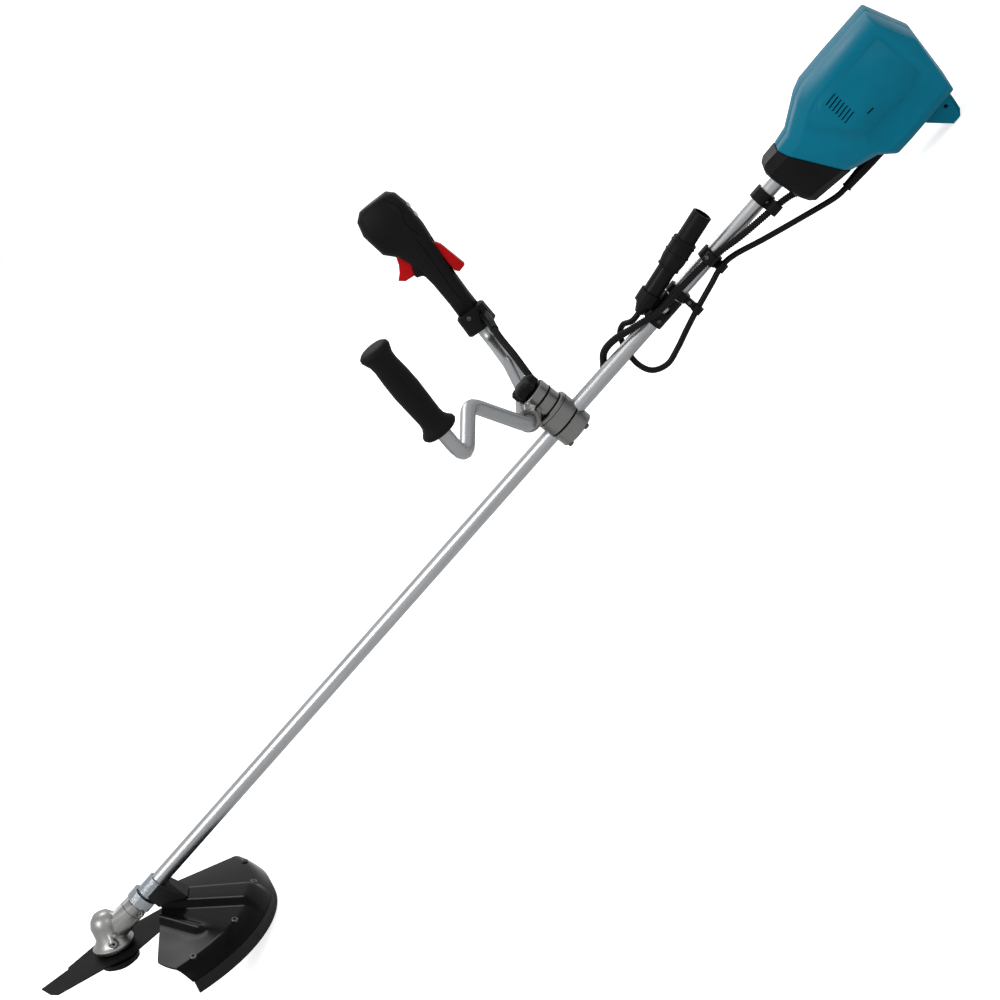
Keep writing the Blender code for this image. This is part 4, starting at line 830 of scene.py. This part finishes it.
# Clips and the hanger are black mouldings round the pipe, screwed at the side. The connector is a
# rubber boot, a locking collar with raised rings and an open mouth with a moulded shoulder. The lead
# comes out of the housing through a rubber boot with a rounded rim.
finished(black_shell, "black", "upper_clip", "middle_clip", "cord_holder", "hanger_clamp")
connector = finished(black_shell, "black", "plug_collar", "plug_mouth")
connector += finished(lead_rubber, "rubber", "plug_boot")
plug_foot = (212.0, -8.0, 28.0)
plug_way = (0.98, -0.05, 0.16)
plug_beads = ((107.0, 16.9, 1.8), (102.0, 18.0, 1.2), (86.0, 18.0, 1.2), (62.5, 15.6, 1.5),
              (153.6, 14.6, 0.7))
connector.append(ring_beads("connector_rings", plug_foot, plug_way, plug_beads, black_shell, "machine"))
finished(lead_rubber, "rubber", "cord_boot")
boot_mouth = (523.6, 0, -83)
ring_beads("cord_boot_rim", boot_mouth, pipe_line, ((0.0, 6.4, 1.4),), lead_rubber, "machine")
clip_start = -60
clip_spots = (("upper_clip", 436, -8), ("middle_clip", 322, 8), ("cord_holder", 252, -21),
              ("hanger_clamp", 204, -4))
screws("clip_screws", oxide, "machine",
       [(frame["nodes"][node], (x, clip_start, z), from_left, 0.75) for node, x, z in clip_spots])


# The motor, its plate, bearings and controller, the drive shaft and the bevel gears are closed in by
# the housing, pipe and gear case. They keep their CAD form with plain metal and moulded finishes.
def dress(mat, *names):
    """Gives CAD nodes a finish."""
    for name in names:
        data = frame["nodes"][name].data
        data.materials.clear()
        data.materials.append(mat)


dress(blasted, "motor_case", "motor_plate", "controller")
dress(plated, "knob_bolt", "coupling")
ground = metal("ground_steel", (0.36, 0.37, 0.39), (0.44, 0.45, 0.47), 0.24, 0.34, 500, 0.00005)
dress(ground, "drive_shaft", "pinion", "bevel_gear", "pinion_bearing", "upper_bearing", "lower_bearing",
      "front_bearing", "rear_bearing", "spindle", "rotor")
winding = metal("winding", (0.5, 0.22, 0.09), (0.62, 0.3, 0.13), 0.3, 0.4, 700, 0.0002)
dress(winding, "stator")
dress(black_shell, "shaft_bush_1", "shaft_bush_2", "shaft_bush_3", "cooling_fan")


# The stage is a pale floor under a white surround, with a broad key light over the operator's
# left, a weaker fill and a light from behind, at a plain level.
def seen_by(tree, *rays):
    """One for the kinds of ray that are named, nought for the others."""
    path = tree.nodes.new("ShaderNodeLightPath")
    either = tree.nodes.new("ShaderNodeMath")
    either.operation = "MAXIMUM"
    for socket, ray in zip(either.inputs, rays):
        tree.links.new(path.outputs[ray], socket)
    return either.outputs[0]


floor_reach = 14.0
floor_drop = 0.002
floor_light = 0.72
floor_mesh = bpy.data.meshes.new("floor")
floor_corners = [(x * floor_reach, y * floor_reach, 0) for x, y in ((-1, -1), (1, -1), (1, 1), (-1, 1))]
floor_mesh.from_pydata(floor_corners, [], [(0, 1, 2, 3)])
floor = placed(floor_mesh, "floor")
floor.location.z = -floor_drop
floor_paint, floor_tree, floor_shader = finish("floor_paint", (0.86, 0.86, 0.86), 0.9)
floor_shader.inputs["Specular IOR Level"].default_value = 0.0
floor_shader.inputs["Emission Color"].default_value = (1, 1, 1, 1)
floor_glow = floor_tree.nodes.new("ShaderNodeMath")
floor_glow.operation = "MULTIPLY"
floor_glow.inputs[1].default_value = floor_light
floor_seen = seen_by(floor_tree, "Is Camera Ray", "Is Transmission Ray")
floor_tree.links.new(floor_seen, floor_glow.inputs[0])
floor_tree.links.new(floor_glow.outputs[0], floor_shader.inputs["Emission Strength"])
floor_mesh.materials.append(floor_paint)
world = bpy.data.worlds.new("surround")
scene.world = world
world.use_nodes = True
surround = world.node_tree
sky = surround.nodes["Background"]
sky.inputs["Color"].default_value = (1, 1, 1, 1)
sky_level = surround.nodes.new("ShaderNodeMapRange")
sky_level.inputs["To Min"].default_value = 0.5
sky_level.inputs["To Max"].default_value = 1.0
sky_seen = seen_by(surround, "Is Camera Ray", "Is Glossy Ray")
surround.links.new(sky_seen, sky_level.inputs["Value"])
surround.links.new(sky_level.outputs["Result"], sky.inputs["Strength"])


def lamp(name, place, aim, power, size):
    """A square lamp at a place, turned to an aim."""
    light = bpy.data.lights.new(name, "AREA")
    light.energy = power
    light.size = size
    holder = placed(light, name)
    holder.location = place
    holder.rotation_euler = (Vector(aim) - Vector(place)).to_track_quat("-Z", "Y").to_euler()


lamp("key_light", place=(-1.4, -2.2, 3.4), aim=(0, 0, 0.2), power=80, size=1.6)
lamp("fill_light", place=(2.8, -2.4, 1.6), aim=(0.2, 0, 0.2), power=20, size=1.6)
lamp("rim_light", place=(0.6, 2.6, 3.0), aim=(0, 0, 0.2), power=44, size=1.4)
